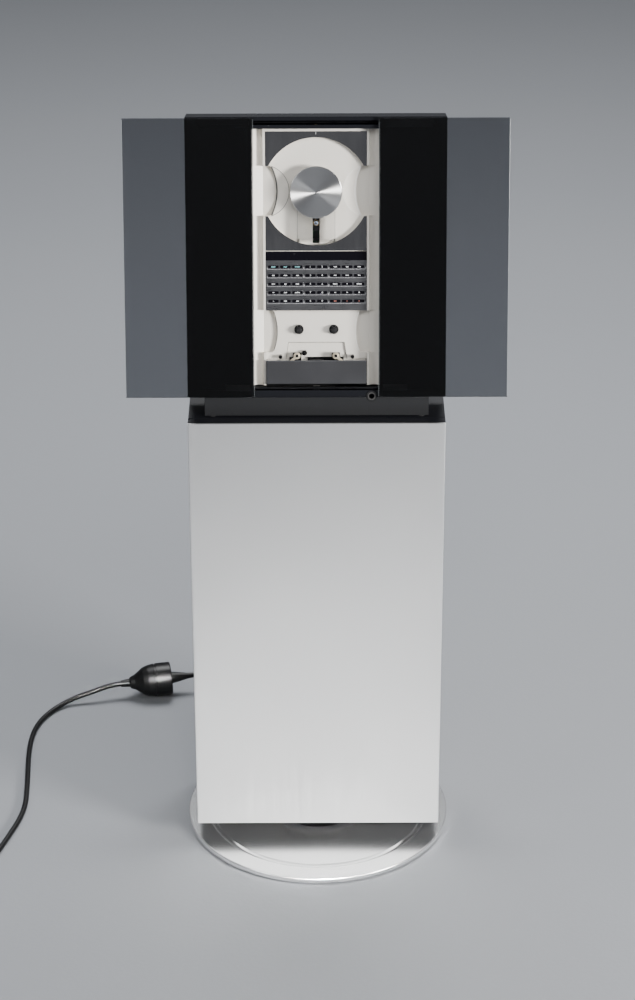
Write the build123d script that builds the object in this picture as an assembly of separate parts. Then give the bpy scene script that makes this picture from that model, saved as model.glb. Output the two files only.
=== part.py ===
from build123d import *
from math import cos, pi, radians, sin, sqrt, tan
import os

# A music centre that leans back on a cabinet, over a round foot.
# Millimetres. The origin is the middle of the foot on the floor, +Z up, the front faces -Y.

# Clearances
fit_gap = 0.1        # round a fixed piece that slips into another
run_gap = 0.05       # radial, between a shaft and its bore
move_gap = 0.3       # between faces that slide or turn past each other

# Foot
foot_radius = 171.5
foot_thickness = 7.0
foot_crown = 1.5
foot_stand = 1.5
rim_round = 1.5
groove_radius = 142.0
groove_width = 8.0
groove_depth = 1.2
pad_radius = 9.0
pad_seat = 1.5
pad_circle = 150.0
pad_count = 6

# Swivel hub between the foot and the cabinet
hub_flange_radius = 60.0
hub_flange_height = 5.0
hub_radius = 46.0
hub_pin_radius = 20.0
hub_bore_radius = 12.0
hub_boss_reach = 52.0
hub_boss_half = 13.0
hub_boss_height = 16.0

# Cabinet
body_width = 314.0
panel_low = 32.0
panel_height = 577.0
panel_front = -76.5
cabinet_depth = 157.0
shell_wall = 12.0
shell_edge_round = 1.0
shell_rise = 1.0         # the shell's floor sits this much above the panel's lower edge
back_thickness = 3.0
back_rebate = 4.0
rebate_width = 6.0
back_screw_radius = 1.45
back_screw_length = 12.0
screw_head_radius = 2.6
screw_head_height = 1.0
screw_rows = 3
cable_way_radius = 14.0

# Cabinet door
door_depth = 16.0
door_skin = 2.5
door_pivot_inset = 8.0
door_edge_round = 1.5
door_gap = 0.9
hinge_pin_radius = 2.0
hinge_arm_width = 5.0
hinge_plate = 4.0
hinge_rise = 4.0         # from the shell's inner floor or ceiling to the hinge plate
hinge_reach = 14.0
hinge_tab = 4.0
hinge_tab_length = 32.0

# Shelves
shelf_rows = 4
shelf_thickness = 4.0
shelf_setback = 10.0
shelf_lip = 3.0
divider_thickness = 4.0

# Neck under the head
neck_half_width = 136.5
neck_front = -56.4
neck_wall = 3.0
neck_stand = 2.0
neck_foot_radius = 5.0
neck_foot_inset = 9.0

# Head, in its own upright frame: x across, w behind the face of the glass, v up along it
lean_angle = 14.5
glass_line = -60.0       # where the face of the glass meets its lower edge
glass_lift = 27.0        # of that edge above the cabinet
head_height = 340.0
head_wall = 2.5
frame_face = 6.0
frame_depth = 50.0
deck_half = 77.0
deck_wall = 1.5
opening_low = 8.3
opening_drop = 14.4      # of the deck opening's upper edge below the head's top
motor_shelf = 2.4

# Sliding glass doors
glass_width = 156.4
glass_foot = 0.8
glass_top_gap = 1.2
glass_thickness = 4.0
glass_edge = 0.4
door_travel = 75.0
door_meet = 0.4

# Door rails and carriers
rail_radius = 2.0
top_rail_drop = 7.2
top_rail_w = 14.0
low_rail_v = 9.8
low_rail_w = 12.4
carrier_inset = 5.0
carrier_length = 60.0
carrier_neck = 50.0
carrier_pad = 1.6
slide_block = 8.0
shoe_length = 30.0
shoe_block = 6.0
neck_height = 4.0
shoe_neck = 2.0
shoe_pad = (8.3, 16.0)
slot_reach = 143.0

# Rack and pinion that moves the two doors together
gear_module = 0.625
gear_teeth = 16
gear_height = 3.2
gear_backlash = 0.16
pressure_angle = 20.0
pinion_w = 40.0
rack_height = 3.6
rack_lift = 1.2          # above the shelf that carries the motor
rack_body = 2.3
rack_lead = 5.0
rack_tip = 0.9 * gear_module
gear_root = 1.25 * gear_module
pinion_shaft_radius = 1.5
motor_radius = 9.5
motor_solid = 9.0        # of the motor's length behind the bore
motor_shaft_gap = 1.0
motor_length = 28.0

# Deck moulding
deck_face = 16.0
deck_back = 28.5
deck_low = 13.0
plate_half = 61.4
plate_thickness = 1.5
channel_x = 70.0
channel_radius = 6.0
well_v = 249.5
well_radius = 65.0
well_floor = 21.5
grip_floor = 26.0
grip_arc_radius = 67.0
grip_arc_x = 115.0
grip_slope_x = 64.0
grip_rim = 17.2
disc_grip = (219.8, 280.0)
tape_grip = (52.8, 105.0)
scoop_x = 64.0
scoop_radius = 31.5
scoop_ball = 130.0
tape_floor = 22.0
bridge_floor = 24.0
bridge_top = 65.0
bridge_top_half = 34.0
bridge_low_half = 37.5
tape_bed_low = 44.0

# Plates of the deck
plate_margin = 3.8       # between the upper plate and the opening's edge
plate_low = 178.0
window_low = 167.0
window_high = 176.9
window_half = 59.0
window_proud = 0.2
window_depth = 4.0
keypad_low = 105.0
keypad_high = 166.4

# Keys
key_rows = 5
key_top_v = 158.4
key_pitch = 10.45
key_height = 5.6
key_proud = 0.2
key_slot_gap = 0.25
key_groups = {"left": (-59.2, -15.6), "middle": (-14.4, 14.4), "right": (15.6, 59.2)}
side_key_count = 3
middle_key_count = 2
key_flange = 0.8
key_flange_thickness = 1.4
key_stem_radius = 1.5
key_travel = 0.8
key_edge = 0.35
board_thickness = 1.5
switch_radius = 2.6
switch_height = 1.9

# Disc player
clamp_radius = 31.3
clamp_face = 7.0
clamp_thickness = 2.5
clamp_neck_radius = 2.5
clamp_pad_radius = 14.0
clamp_pad_back = 14.8
clamp_pad_hole = 9.4
clamp_pad_thickness = 2.2
arm_half = 22.7
arm_face = 9.8
arm_thickness = 1.5
arm_leg_inner = 21.0
arm_pivot_v = 182.0
arm_pivot_w = 21.5
arm_barrel_radius = 2.2
arm_pin_radius = 1.25
arm_pin_length = 5.0
arm_riser_v = 189.3
table_radius = 15.0
table_w = 19.0
table_thickness = 2.0
cone_radius = 7.4
cone_height = 1.8
spindle_radius = 1.5
spindle_length = 18.0
spindle_motor_radius = 13.0
spindle_motor_length = 17.5
lens_slot_half = 4.2
lens_radius = 3.7
lens_v = 211.0
lens_w = 20.8
lens_travel = (17.5, 14.5)
lens_slot_gap = 3.8
sled_half = 26.0
sled_height = 20.0
sled_face = 29.5
sled_back = 37.0
sled_rod_x = 20.0
sled_rod_w = 33.0
sled_rod_radius = 1.5
sled_rod_lift = 5.6      # of the rods' lower end above the keypad
sled_rod_rise = 6.5      # of their upper end above the spindle
rod_boss = 4.0

# Cassette player
reel_spacing = 42.5
reel_v = 81.2
reel_collar_radius = 5.7
reel_spindle_radius = 3.2
reel_fin_radius = 4.6
reel_fins = 6
reel_tip_w = 12.5
reel_shaft_radius = 1.5
reel_pulley_radius = 8.0
bridge_half = 33.0
bridge_plate_w = 20.8
bridge_plate = 2.0
bridge_span = (20.0, 47.0)
bridge_travel = 9.0
roller_x = 23.6
roller_v = 49.8
roller_radius = 3.3
roller_span = (13.2, 19.7)
roller_axle_radius = 1.0
roller_bracket_low = 38.0
head_block_half = 9.0
capstan_x = -14.5
capstan_v = 52.2
capstan_radius = 3.0
post_x = 43.8
post_v = 48.0
post_radius = 2.2
tape_plate_low = 15.0
tape_plate_high = 44.3
tape_plate_face = 10.5
tape_plate_wall = 2.0
tape_plate_half = 61.4

# Rear of the head
cover_flange = 2.5
cover_inset = 19.0
cover_low = 30.0
cover_drop = 34.0        # of the bulge's upper edge below the head's top
cover_depth = 42.0
cover_taper = 24.0
cover_wall = 2.5
vent_count = 15
vent_pitch = 14.0
vent_width = 3.0
vent_length = 34.0
vent_drop = 44.0
pillar_radius = 3.0
pillar_xs = (-58.0, 100.0)
pillar_vs = (70.0, 250.0)

# Electronics in the head
main_board_x = (-66.0, 126.0)
main_board_v = (60.0, 260.0)
board_chips = ((-20.0, 110.0, 30.0, 12.0, 4.0), (40.0, 110.0, 14.0, 36.0, 4.0), (85.0, 120.0, 20.0, 20.0, 5.0),
               (0.0, 180.0, 44.0, 14.0, 5.0), (70.0, 190.0, 26.0, 26.0, 6.0), (-30.0, 225.0, 12.0, 30.0, 4.0))
board_cans = ((100.0, 230.0), (80.0, 230.0), (60.0, 230.0), (100.0, 80.0), (10.0, 80.0))
can_radius = 6.0
can_height = 14.0
core_inset = 26.0        # from the bulge's side
core_width = 40.0
core_v = (64.0, 122.0)
core_depth = 32.0
winding_overhang = 3.0
winding_v = (74.0, 112.0)
winding_inset = 4.0

# Headphone socket
socket_x = 67.0
socket_v = 1.2
socket_radius = 6.5
socket_front = 4.8
socket_flange = 3.7
socket_barrel_radius = 4.8
socket_length = 26.0
jack_radius = 3.2

# Mains lead
lead_radius = 2.8        # of the appliance's own lead
extension_radius = 3.5
gland_length = 34.0
gland_flange_radius = 6.5
gland_flange = 3.0
gland_z = 22.0
lead_first_run = 34.0
coil_first_run = 30.0

# The lead's plug and the socket it is pushed into, and the turn of their common line
joint_point = (-209.0, 309.0, 24.5)
joint_turn = 10.0
joint_drop = 2.0
socket_profile = ((0.0, 22.4), (1.5, 23.2), (20.5, 23.4), (21.0, 22.6), (23.0, 22.6), (23.5, 23.4),
                  (33.0, 21.8), (40.0, 19.2), (46.0, 14.8), (52.0, 10.6), (58.0, 8.2), (59.5, 5.9), (72.0, 4.6))
plug_profile = ((0.0, 8.6), (6.0, 7.8), (14.0, 6.3), (23.0, 4.4), (32.0, 3.6))

# Routes of the lead: from the hub to its plug, and from the socket to the coil
hub_to_plug = [
    (-3, 168, 15.8), (-8, 204, 5), (-20, 243, 2.9), (-39, 279, 2.8), (-66, 306, 7), (-98, 319, 18),
]
socket_to_coil = [
    (-318, 284.5, 16.5), (-343, 279.5, 10), (-364, 267, 5), (-383, 241.6, 3.5), (-394, 210.6, 3.5),
    (-398, 174.6, 3.5), (-397.5, 131.6, 3.5), (-394.3, 85.6, 3.5), (-392, 43.6, 3.5), (-391, 10.6, 3.5),
    (-395.5, -22, 3.5), (-404.5, -56, 3.5),
]

# Put-away coil
coil_mid_radius = 33.6
coil_gap = 0.5
coil_half_turns = 6
coil_dip = 1.1           # further in, where the lead climbs to the upper layer
coil_entry = (-427.0, -130.0)
coil_heading = 252.5
end_plug_width = 36.0
end_plug_length = 40.0
end_plug_tail = 32.0
end_pin_radius = 2.4
end_pin_spacing = 19.0
end_pin_length = 19.0


# Derived places
panel_top = panel_low + panel_height
panel_back = panel_front + door_depth
shell_front = panel_back + door_gap
shell_back = panel_front + cabinet_depth
shell_low = panel_low + shell_rise
inner_half = body_width / 2 - shell_wall
inner_low = shell_low + shell_wall
inner_high = panel_top - shell_wall
pivot_x = -body_width / 2 + door_pivot_inset
pivot_y = panel_back - door_pivot_inset
glass_z = panel_top + glass_lift
opening_high = head_height - opening_drop
shelf_v = opening_high + motor_shelf
glass_height = head_height - glass_foot - glass_top_gap
top_rail_v = head_height - top_rail_drop
rack_low = shelf_v + rack_lift
upper_plate_top = opening_high - plate_margin
cover_high = head_height - cover_drop
cover_half = body_width / 2 - cover_inset
vent_v = cover_high - vent_drop
sled_rod_span = (keypad_high + sled_rod_lift, well_v + sled_rod_rise)
lens_slot = (lens_v - lens_travel[0] - lens_radius - lens_slot_gap,
             lens_v + lens_travel[1] + lens_radius + lens_slot_gap)
foot_top = foot_stand + foot_thickness + foot_crown
slide_half = slide_block / 2
door_open = door_meet + door_travel
reel_x = reel_spacing / 2
pitch_radius = gear_module * gear_teeth / 2
board_w = frame_depth + 10
cover_back = frame_depth + cover_flange + cover_depth
coil_pitch = 2 * extension_radius + coil_gap
coil_outer = coil_mid_radius + coil_half_turns * coil_pitch / 4
coil_top = extension_radius + coil_pitch


def block(x, y, z):
    # A box between two corners, each given as a low and a high value.
    size = [high - low for low, high in (x, y, z)]
    middle = [(low + high) / 2 for low, high in (x, y, z)]
    return Pos(*middle) * Box(*size)


def rod_z(x, y, z, radius):
    return Pos(x, y, (z[0] + z[1]) / 2) * Cylinder(radius, z[1] - z[0])


def rod_y(x, y, z, radius):
    return Pos(x, (y[0] + y[1]) / 2, z) * Rot(90, 0, 0) * Cylinder(radius, y[1] - y[0])


def rod_x(x, y, z, radius):
    return Pos((x[0] + x[1]) / 2, y, z) * Rot(0, 90, 0) * Cylinder(radius, x[1] - x[0])


def turned(points, middle):
    # A solid turned about a line along Y through middle: points are (radius, y).
    outline = Plane.XY * make_face(Polyline(*points, close=True))
    return Pos(middle[0], 0, middle[1]) * revolve(outline, Axis.Y)


def mirrored(shape):
    return mirror(shape, about=Plane.YZ)


def both_sides(shape):
    return shape + mirrored(shape)


def circle_edges(shape, radius):
    rings = shape.edges().filter_by(GeomType.CIRCLE)
    return [edge for edge in rings if abs(edge.radius - radius) < 0.001]


def leaned(shape):
    # From the head's upright frame to its place on the cabinet.
    return Pos(0, glass_line, glass_z) * Rot(-lean_angle, 0, 0) * shape


# Foot and hub

def foot_disc():
    rim = foot_stand + foot_thickness
    outline = Polyline(
        (0, foot_stand), (foot_radius, foot_stand), (foot_radius, rim),
        (hub_flange_radius, foot_top), (0, foot_top), close=True)
    disc = revolve(Plane.XZ * make_face(outline), Axis.Z)
    disc = fillet(circle_edges(disc, foot_radius), rim_round)
    slope = foot_crown / (foot_radius - hub_flange_radius)
    surface = rim + slope * (foot_radius - groove_radius)
    tube = ((groove_width / 2) ** 2 + groove_depth ** 2) / (2 * groove_depth)
    disc -= Pos(0, 0, surface + tube - groove_depth) * Torus(groove_radius, tube)
    for place in PolarLocations(pad_circle, pad_count):
        disc -= place * rod_z(0, 0, (0, foot_stand + pad_seat), pad_radius + fit_gap)
    return disc


def foot_pads():
    pad = rod_z(0, 0, (0, foot_stand + pad_seat), pad_radius)
    pad = chamfer(pad.edges().group_by(Axis.Z)[0], 0.5)
    return [place * pad for place in PolarLocations(pad_circle, pad_count)]


def swivel_hub():
    top = shell_low - move_gap
    flange_top = foot_top + hub_flange_height
    hub = rod_z(0, 0, (foot_top, flange_top), hub_flange_radius)
    hub += rod_z(0, 0, (flange_top, top), hub_radius)
    boss = (flange_top, flange_top + hub_boss_height)
    hub += block((-hub_boss_half, hub_boss_half), (0, hub_boss_reach), boss)
    hub += rod_z(0, 0, (top, inner_low), hub_pin_radius)
    hub -= rod_z(0, 0, (foot_top, inner_low), hub_bore_radius)
    return hub


# Cabinet

def cabinet_shell():
    half = body_width / 2
    shell = block((-half, half), (shell_front, shell_back), (shell_low, panel_top))
    shell = fillet(shell.edges().filter_by(Axis.Y), shell_edge_round)
    shell -= block((-inner_half, inner_half), (shell_front, shell_back), (inner_low, inner_high))
    wide = inner_half + rebate_width
    rebate_z = (inner_low - rebate_width, inner_high + rebate_width)
    shell -= block((-wide, wide), (shell_back - back_rebate, shell_back), rebate_z)
    shell -= rod_z(0, 0, (shell_low, inner_low), hub_pin_radius + run_gap)
    shell -= rod_z(0, neck_middle(), (inner_high, panel_top), cable_way_radius)
    deep = (shell_front, shell_front + hinge_tab_length + hinge_tab)
    for low, high in hinge_levels():
        shell -= block((-inner_half - hinge_tab, -inner_half), deep, (low - fit_gap, high + fit_gap))
    for x, z in back_screw_places():
        hole = (shell_back - back_rebate - back_screw_length, shell_back - back_rebate)
        shell -= rod_y(x, hole, z, back_screw_radius + run_gap)
    return shell


def back_screw_places():
    x = inner_half + rebate_width / 2
    low = inner_low + 4 * rebate_width
    step = (inner_high - inner_low - 8 * rebate_width) / (screw_rows - 1)
    return [(side * x, low + row * step) for side in (-1, 1) for row in range(screw_rows)]


def cabinet_back():
    front = shell_back - back_rebate
    half = inner_half + rebate_width - fit_gap
    z = (inner_low - rebate_width + fit_gap, inner_high + rebate_width - fit_gap)
    panel = block((-half, half), (front, front + back_thickness), z)
    for x, z in back_screw_places():
        panel -= rod_y(x, (front, front + back_thickness), z, back_screw_radius + fit_gap)
    return panel


def back_screws():
    face = shell_back - back_rebate + back_thickness
    screws = []
    for x, z in back_screw_places():
        shank = (face - back_thickness - back_screw_length, face)
        screw = rod_y(x, shank, z, back_screw_radius)
        screw += rod_y(x, (face, face + screw_head_height), z, screw_head_radius)
        screws.append(screw)
    return screws


def hinge_levels():
    low = inner_low + hinge_rise
    high = inner_high - hinge_rise
    return [(low, low + hinge_plate), (high - hinge_plate, high)]


def door_panel():
    half = body_width / 2
    panel = block((-half, half), (panel_front, panel_front + door_skin), (panel_low, panel_top))
    return fillet(panel.edges().filter_by(Axis.Z).group_by(Axis.Y)[0], door_edge_round)


def door_frame():
    half = body_width / 2
    front = panel_front + door_skin
    frame = block((-half, half), (front, panel_back), (panel_low, panel_top))
    corner = block((-half, pivot_x), (pivot_y, panel_back), (panel_low, panel_top))
    corner -= rod_z(pivot_x, pivot_y, (panel_low, panel_top), door_pivot_inset)
    frame -= corner
    inner = half - door_skin
    pocket_z = (panel_low + door_skin, panel_top - door_skin)
    frame -= block((-inner, inner), (front, panel_back), pocket_z)
    frame -= rod_z(pivot_x, pivot_y, (panel_low, panel_top), hinge_pin_radius + run_gap)
    return frame


def door_hinges():
    pocket = (panel_low + door_skin, panel_top - door_skin)
    arm_half = hinge_arm_width / 2
    arm_end = pivot_x + hinge_reach
    riser = (arm_end - hinge_arm_width, arm_end)
    tab_x = -inner_half - hinge_tab
    cross_low = shell_front + 3
    cross = (cross_low, cross_low + hinge_arm_width)
    hinges = []
    for upper, (low, high) in enumerate(hinge_levels()):
        z = (low, high)
        arm = (pivot_y - arm_half, pivot_y + arm_half)
        hinge = rod_z(pivot_x, pivot_y, z, door_pivot_inset - door_skin - 1)
        hinge += block((pivot_x, arm_end), arm, z)
        hinge += block(riser, (arm[0], cross[1]), z)
        hinge += block((tab_x, arm_end), cross, z)
        hinge += block((tab_x, -inner_half), (cross[0], cross[0] + hinge_tab_length), z)
        if upper:
            pin, collar = (low, panel_top - 0.5), (high, pocket[1] - move_gap)
        else:
            pin, collar = (panel_low + 0.5, high), (pocket[0] + move_gap, low)
        hinge += rod_z(pivot_x, pivot_y, pin, hinge_pin_radius)
        hinge += rod_z(pivot_x, pivot_y, collar, 2 * hinge_pin_radius)
        hinges.append(hinge)
    return hinges


def shelf_levels():
    clear = inner_high - inner_low - (shelf_rows - 1) * shelf_thickness
    cell = clear / shelf_rows
    return [inner_low + cell * (row + 1) + shelf_thickness * row for row in range(shelf_rows - 1)]


def shelf_run():
    return (shell_front + shelf_setback, shell_back - back_rebate)


def shelf_divider():
    edge = divider_thickness / 2
    return block((-edge, edge), shelf_run(), (inner_low, inner_high))


def shelf_spans():
    return [(-inner_half, -divider_thickness / 2), (divider_thickness / 2, inner_half)]


def shelves():
    levels = [(level, level + shelf_thickness) for level in shelf_levels()]
    return [block(x, shelf_run(), z) for z in levels for x in shelf_spans()]


def shelf_stops():
    # A bar behind the disc cases on each shelf.
    back = shelf_run()[1]
    levels = [level + shelf_thickness for level in shelf_levels()]
    return [block(x, (back - shelf_lip, back), (z, z + shelf_lip)) for z in levels for x in shelf_spans()]


# Neck

def head_foot_y(w):
    return glass_line + w * cos(radians(lean_angle))


def head_foot_z(w):
    return glass_z - w * sin(radians(lean_angle))


def neck_back():
    return head_foot_y(frame_depth)


def neck_middle():
    return (neck_front + neck_back()) / 2


def neck_bracket():
    low = panel_top + neck_stand
    slope = tan(radians(lean_angle))
    front_top = glass_z - (neck_front - glass_line) * slope
    back_top = head_foot_z(frame_depth)
    side = Polyline((neck_front, low), (neck_front, front_top), (neck_back(), back_top),
                    (neck_back(), low), close=True)
    neck = extrude(Plane.YZ * make_face(side), neck_half_width, both=True)
    inside_front = neck_front + neck_wall
    inside_back = neck_back() - neck_wall
    drop = neck_wall / cos(radians(lean_angle))
    hollow = Polyline((inside_front, low), (inside_front, front_top - neck_wall * slope - drop),
                      (inside_back, back_top + neck_wall * slope - drop), (inside_back, low), close=True)
    neck -= extrude(Plane.YZ * make_face(hollow), neck_half_width - neck_wall, both=True)
    for x in neck_foot_xs():
        for y in neck_foot_ys():
            neck += rod_z(x, y, (low, low + 2 * neck_wall), neck_foot_radius)
    return neck - leaned(socket_hole())


def neck_foot_xs():
    x = neck_half_width - neck_foot_inset
    return (-x, x)


def neck_foot_ys():
    return (neck_front + neck_foot_radius + neck_wall / 2, neck_back() - neck_foot_radius - neck_wall / 2)


def neck_feet():
    z = (panel_top, panel_top + neck_stand)
    return [rod_z(x, y, z, neck_foot_radius) for x in neck_foot_xs() for y in neck_foot_ys()]


def socket_hole():
    flange_end = socket_front + socket_flange
    end = socket_front + socket_length
    hole = rod_y(socket_x, (0, flange_end), socket_v, socket_radius + fit_gap)
    return hole + rod_y(socket_x, (flange_end, end), socket_v, socket_barrel_radius + fit_gap)


# Head frame and rear cover, in the upright frame: y is w, z is v

def front_frame():
    half = body_width / 2
    inner = half - head_wall
    face_back = frame_face + head_wall
    full = (frame_face, frame_depth)
    frame = block((-half, half), full, (0, head_height))
    frame = fillet(frame.edges().filter_by(Axis.Y), shell_edge_round)
    frame -= block((-inner, inner), (face_back, frame_depth), (head_wall, head_height - head_wall))
    frame -= block((-deck_half, deck_half), (frame_face, face_back), (opening_low, opening_high))
    wall = block((deck_half, deck_half + deck_wall), (face_back, deck_back), (deck_low + 1, opening_high))
    frame += both_sides(wall)
    frame += block((-inner, inner), (face_back, pinion_w + 8), (opening_high, shelf_v))
    slot_v = (top_rail_v - neck_height / 2 - 0.6, top_rail_v + neck_height / 2 + 0.6)
    frame -= block((-slot_reach, slot_reach), (frame_face, face_back), slot_v)
    low_v = (low_rail_v - shoe_neck / 2 - 0.6, low_rail_v + shoe_neck / 2 + 0.6)
    frame -= both_sides(block((deck_half, slot_reach), (frame_face, face_back), low_v))
    frame -= rod_z(0, pinion_w, (opening_high, shelf_v), pinion_shaft_radius + 1)
    return frame - socket_hole()


def vent_xs():
    return [(index - (vent_count - 1) / 2) * vent_pitch for index in range(vent_count)]


def pillar_places():
    return [(x, v) for x in pillar_xs for v in pillar_vs]


def rear_cover():
    half = body_width / 2
    seat = frame_depth
    flange = seat + cover_flange
    middle = (cover_low + cover_high) / 2
    cover = block((-half, half), (seat, flange), (0, head_height))
    cover = fillet(cover.edges().filter_by(Axis.Y), shell_edge_round)
    outer = Plane(origin=(0, flange, middle), x_dir=(1, 0, 0), z_dir=(0, 1, 0))
    size = (2 * cover_half, cover_high - cover_low)
    bulge = extrude(outer * Rectangle(*size), cover_depth, taper=cover_taper)
    bulge = fillet(bulge.edges().filter_by(lambda edge: edge.center().Y > flange + 1), 6)
    cover += bulge
    floor = Plane(origin=(0, seat, middle), x_dir=(1, 0, 0), z_dir=(0, 1, 0))
    inside = (size[0] - 2 * cover_wall, size[1] - 2 * cover_wall)
    depth = cover_depth + cover_flange - cover_wall
    cover -= extrude(floor * Rectangle(*inside), depth, taper=cover_taper)
    for x, v in pillar_places():
        cover += rod_y(x, (board_w + board_thickness, cover_back - cover_wall), v, pillar_radius)
    vents = (flange - 1, cover_back + 1)
    for x in vent_xs():
        z = (vent_v - vent_length / 2, vent_v + vent_length / 2)
        cover -= block((x - vent_width / 2, x + vent_width / 2), vents, z)
    return cover


# Sliding doors: the right-hand ones are made where they stand when open

def glass_door():
    x = (door_open, door_open + glass_width)
    pane = block(x, (0, glass_thickness), (glass_foot, glass_foot + glass_height))
    return chamfer(pane.edges(), glass_edge)


def carrier_start():
    return door_open + carrier_inset


def top_carriage():
    start = carrier_start()
    end = start + carrier_length
    inset = (carrier_length - carrier_neck) / 2
    bar_v = (top_rail_v - neck_height - 1.5, top_rail_v + neck_height + 1)
    part = block((start, end), (glass_thickness, glass_thickness + carrier_pad), bar_v)
    neck_v = (top_rail_v - neck_height / 2, top_rail_v + neck_height / 2)
    part += block((start + inset, end - inset), (glass_thickness, top_rail_w), neck_v)
    near = (top_rail_w - slide_half, top_rail_w + slide_half)
    block_v = (top_rail_v - slide_half, top_rail_v + slide_half)
    part += block((start, end), near, block_v)
    return part


def rail_bore(rail_w, rail_v):
    length = 2 * body_width
    return rod_x((-length, length), rail_w, rail_v, rail_radius + run_gap)


def low_shoe():
    start = carrier_start()
    end = start + shoe_length
    half = shoe_block / 2
    part = block((start, end), (glass_thickness, glass_thickness + carrier_pad), shoe_pad)
    neck_v = (low_rail_v - shoe_neck / 2, low_rail_v + shoe_neck / 2)
    part += block((start, end), (glass_thickness, low_rail_w), neck_v)
    part += block((start, end), (low_rail_w - half, low_rail_w + half), (low_rail_v - half, low_rail_v + half))
    return part - rail_bore(low_rail_w, low_rail_v)


def rack(from_x, to_x, front):
    # A toothed bar before or behind the pinion, with a gap between teeth at x = 0.
    pitch = pi * gear_module
    slope = tan(radians(pressure_angle))
    half = pitch / 4 - gear_backlash / 4
    outline = [(from_x, -gear_root - rack_body), (from_x, -gear_root)]
    for index in range(int(from_x / pitch), int(to_x / pitch)):
        middle = (index + 0.5) * pitch
        outline.append((middle - half - gear_root * slope, -gear_root))
        outline.append((middle - half + rack_tip * slope, rack_tip))
        outline.append((middle + half - rack_tip * slope, rack_tip))
        outline.append((middle + half + gear_root * slope, -gear_root))
    outline += [(to_x, -gear_root), (to_x, -gear_root - rack_body)]
    bar = extrude(make_face(Polyline(*outline, close=True)), rack_height)
    if front:
        return Pos(0, pinion_w - pitch_radius, rack_low) * bar
    return Pos(0, pinion_w + pitch_radius, rack_low) * mirror(bar, about=Plane.XZ)


def right_carrier():
    start = carrier_start()
    end = start + carrier_length
    body = top_carriage()
    bridge_v = (rack_low + rack_height + 0.6, top_rail_v + slide_half)
    back = pinion_w + pitch_radius + gear_root + rack_body
    body += block((start, end), (top_rail_w, back), bridge_v)
    body += block((start, end), (back - rack_body, back), (rack_low, bridge_v[1]))
    body += rack(-rack_lead, end, False)
    return [body - rail_bore(top_rail_w, top_rail_v), low_shoe()]


def left_carrier():
    start = carrier_start()
    end = start + carrier_length
    body = mirrored(top_carriage())
    front = pinion_w - pitch_radius - gear_root
    level = (rack_low, rack_low + rack_height)
    body += block((-end, -start), (top_rail_w, front), level)
    body += rack(-end, rack_lead, True)
    return [body - rail_bore(top_rail_w, top_rail_v), mirrored(low_shoe())]


def door_rails():
    inner = body_width / 2 - head_wall
    top = rod_x((-inner, inner), top_rail_w, top_rail_v, rail_radius)
    low = rod_x((-inner, inner), low_rail_w, low_rail_v, rail_radius)
    post_half = door_meet + carrier_inset - 1.4
    low += block((-post_half, post_half), (low_rail_w - 3, low_rail_w + 3), (head_wall, low_rail_v + 3))
    return [top, low]


def involute(base, roll):
    return base * (cos(roll) + roll * sin(roll)), base * (sin(roll) - roll * cos(roll))


def gear_tooth():
    # One tooth pointing along +X, its flanks as involutes from the base circle to the tip.
    base = pitch_radius * cos(radians(pressure_angle))
    at_pitch = tan(radians(pressure_angle)) - radians(pressure_angle)
    half = pi / (2 * gear_teeth) - gear_backlash / (4 * pitch_radius) + at_pitch
    tip_roll = sqrt(((pitch_radius + gear_module) / base) ** 2 - 1)
    inner = 0.9 * (pitch_radius - gear_root)
    side = [(inner * cos(half), inner * sin(half))]
    for step in range(6):
        x, y = involute(base, tip_roll * step / 5)
        side.append((x * cos(half) + y * sin(half), x * sin(half) - y * cos(half)))
    outline = side + [(x, -y) for x, y in reversed(side)]
    return extrude(make_face(Polyline(*outline, close=True)), gear_height)


def door_pinion():
    low = rack_low + (rack_height - gear_height) / 2
    gear = rod_z(0, 0, (0, gear_height), pitch_radius - gear_root)
    tooth = Rot(0, 0, -90) * gear_tooth()
    for place in PolarLocations(0, gear_teeth):
        gear += place * tooth
    gear = Pos(0, pinion_w, low) * gear
    shaft = (opening_high - motor_length + motor_solid + motor_shaft_gap, low + gear_height)
    return gear + rod_z(0, pinion_w, shaft, pinion_shaft_radius)


def door_motor():
    low = opening_high - motor_length
    motor = rod_z(0, pinion_w, (low, opening_high), motor_radius)
    motor = fillet(motor.edges().group_by(Axis.Z)[0], 1.5)
    return motor - rod_z(0, pinion_w, (low + motor_solid, opening_high), pinion_shaft_radius + run_gap)


# Deck

def grip_recess(v_range, arc_v):
    # Room for a finger beside the disc or the cassette, on the right-hand side.
    face = deck_face - 1
    outer = block((grip_arc_x - grip_arc_radius - 1, deck_half), (face, grip_floor), v_range)
    arc = rod_y(grip_arc_x, (face, grip_floor), arc_v, grip_arc_radius)
    room = outer & arc
    slope = Polyline((grip_slope_x, grip_floor), (deck_half + 1, grip_rim),
                     (deck_half + 1, grip_floor + 1), (grip_slope_x, grip_floor + 1), close=True)
    wedge = Pos(0, 0, v_range[0]) * extrude(make_face(slope), v_range[1] - v_range[0])
    return room - wedge


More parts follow.
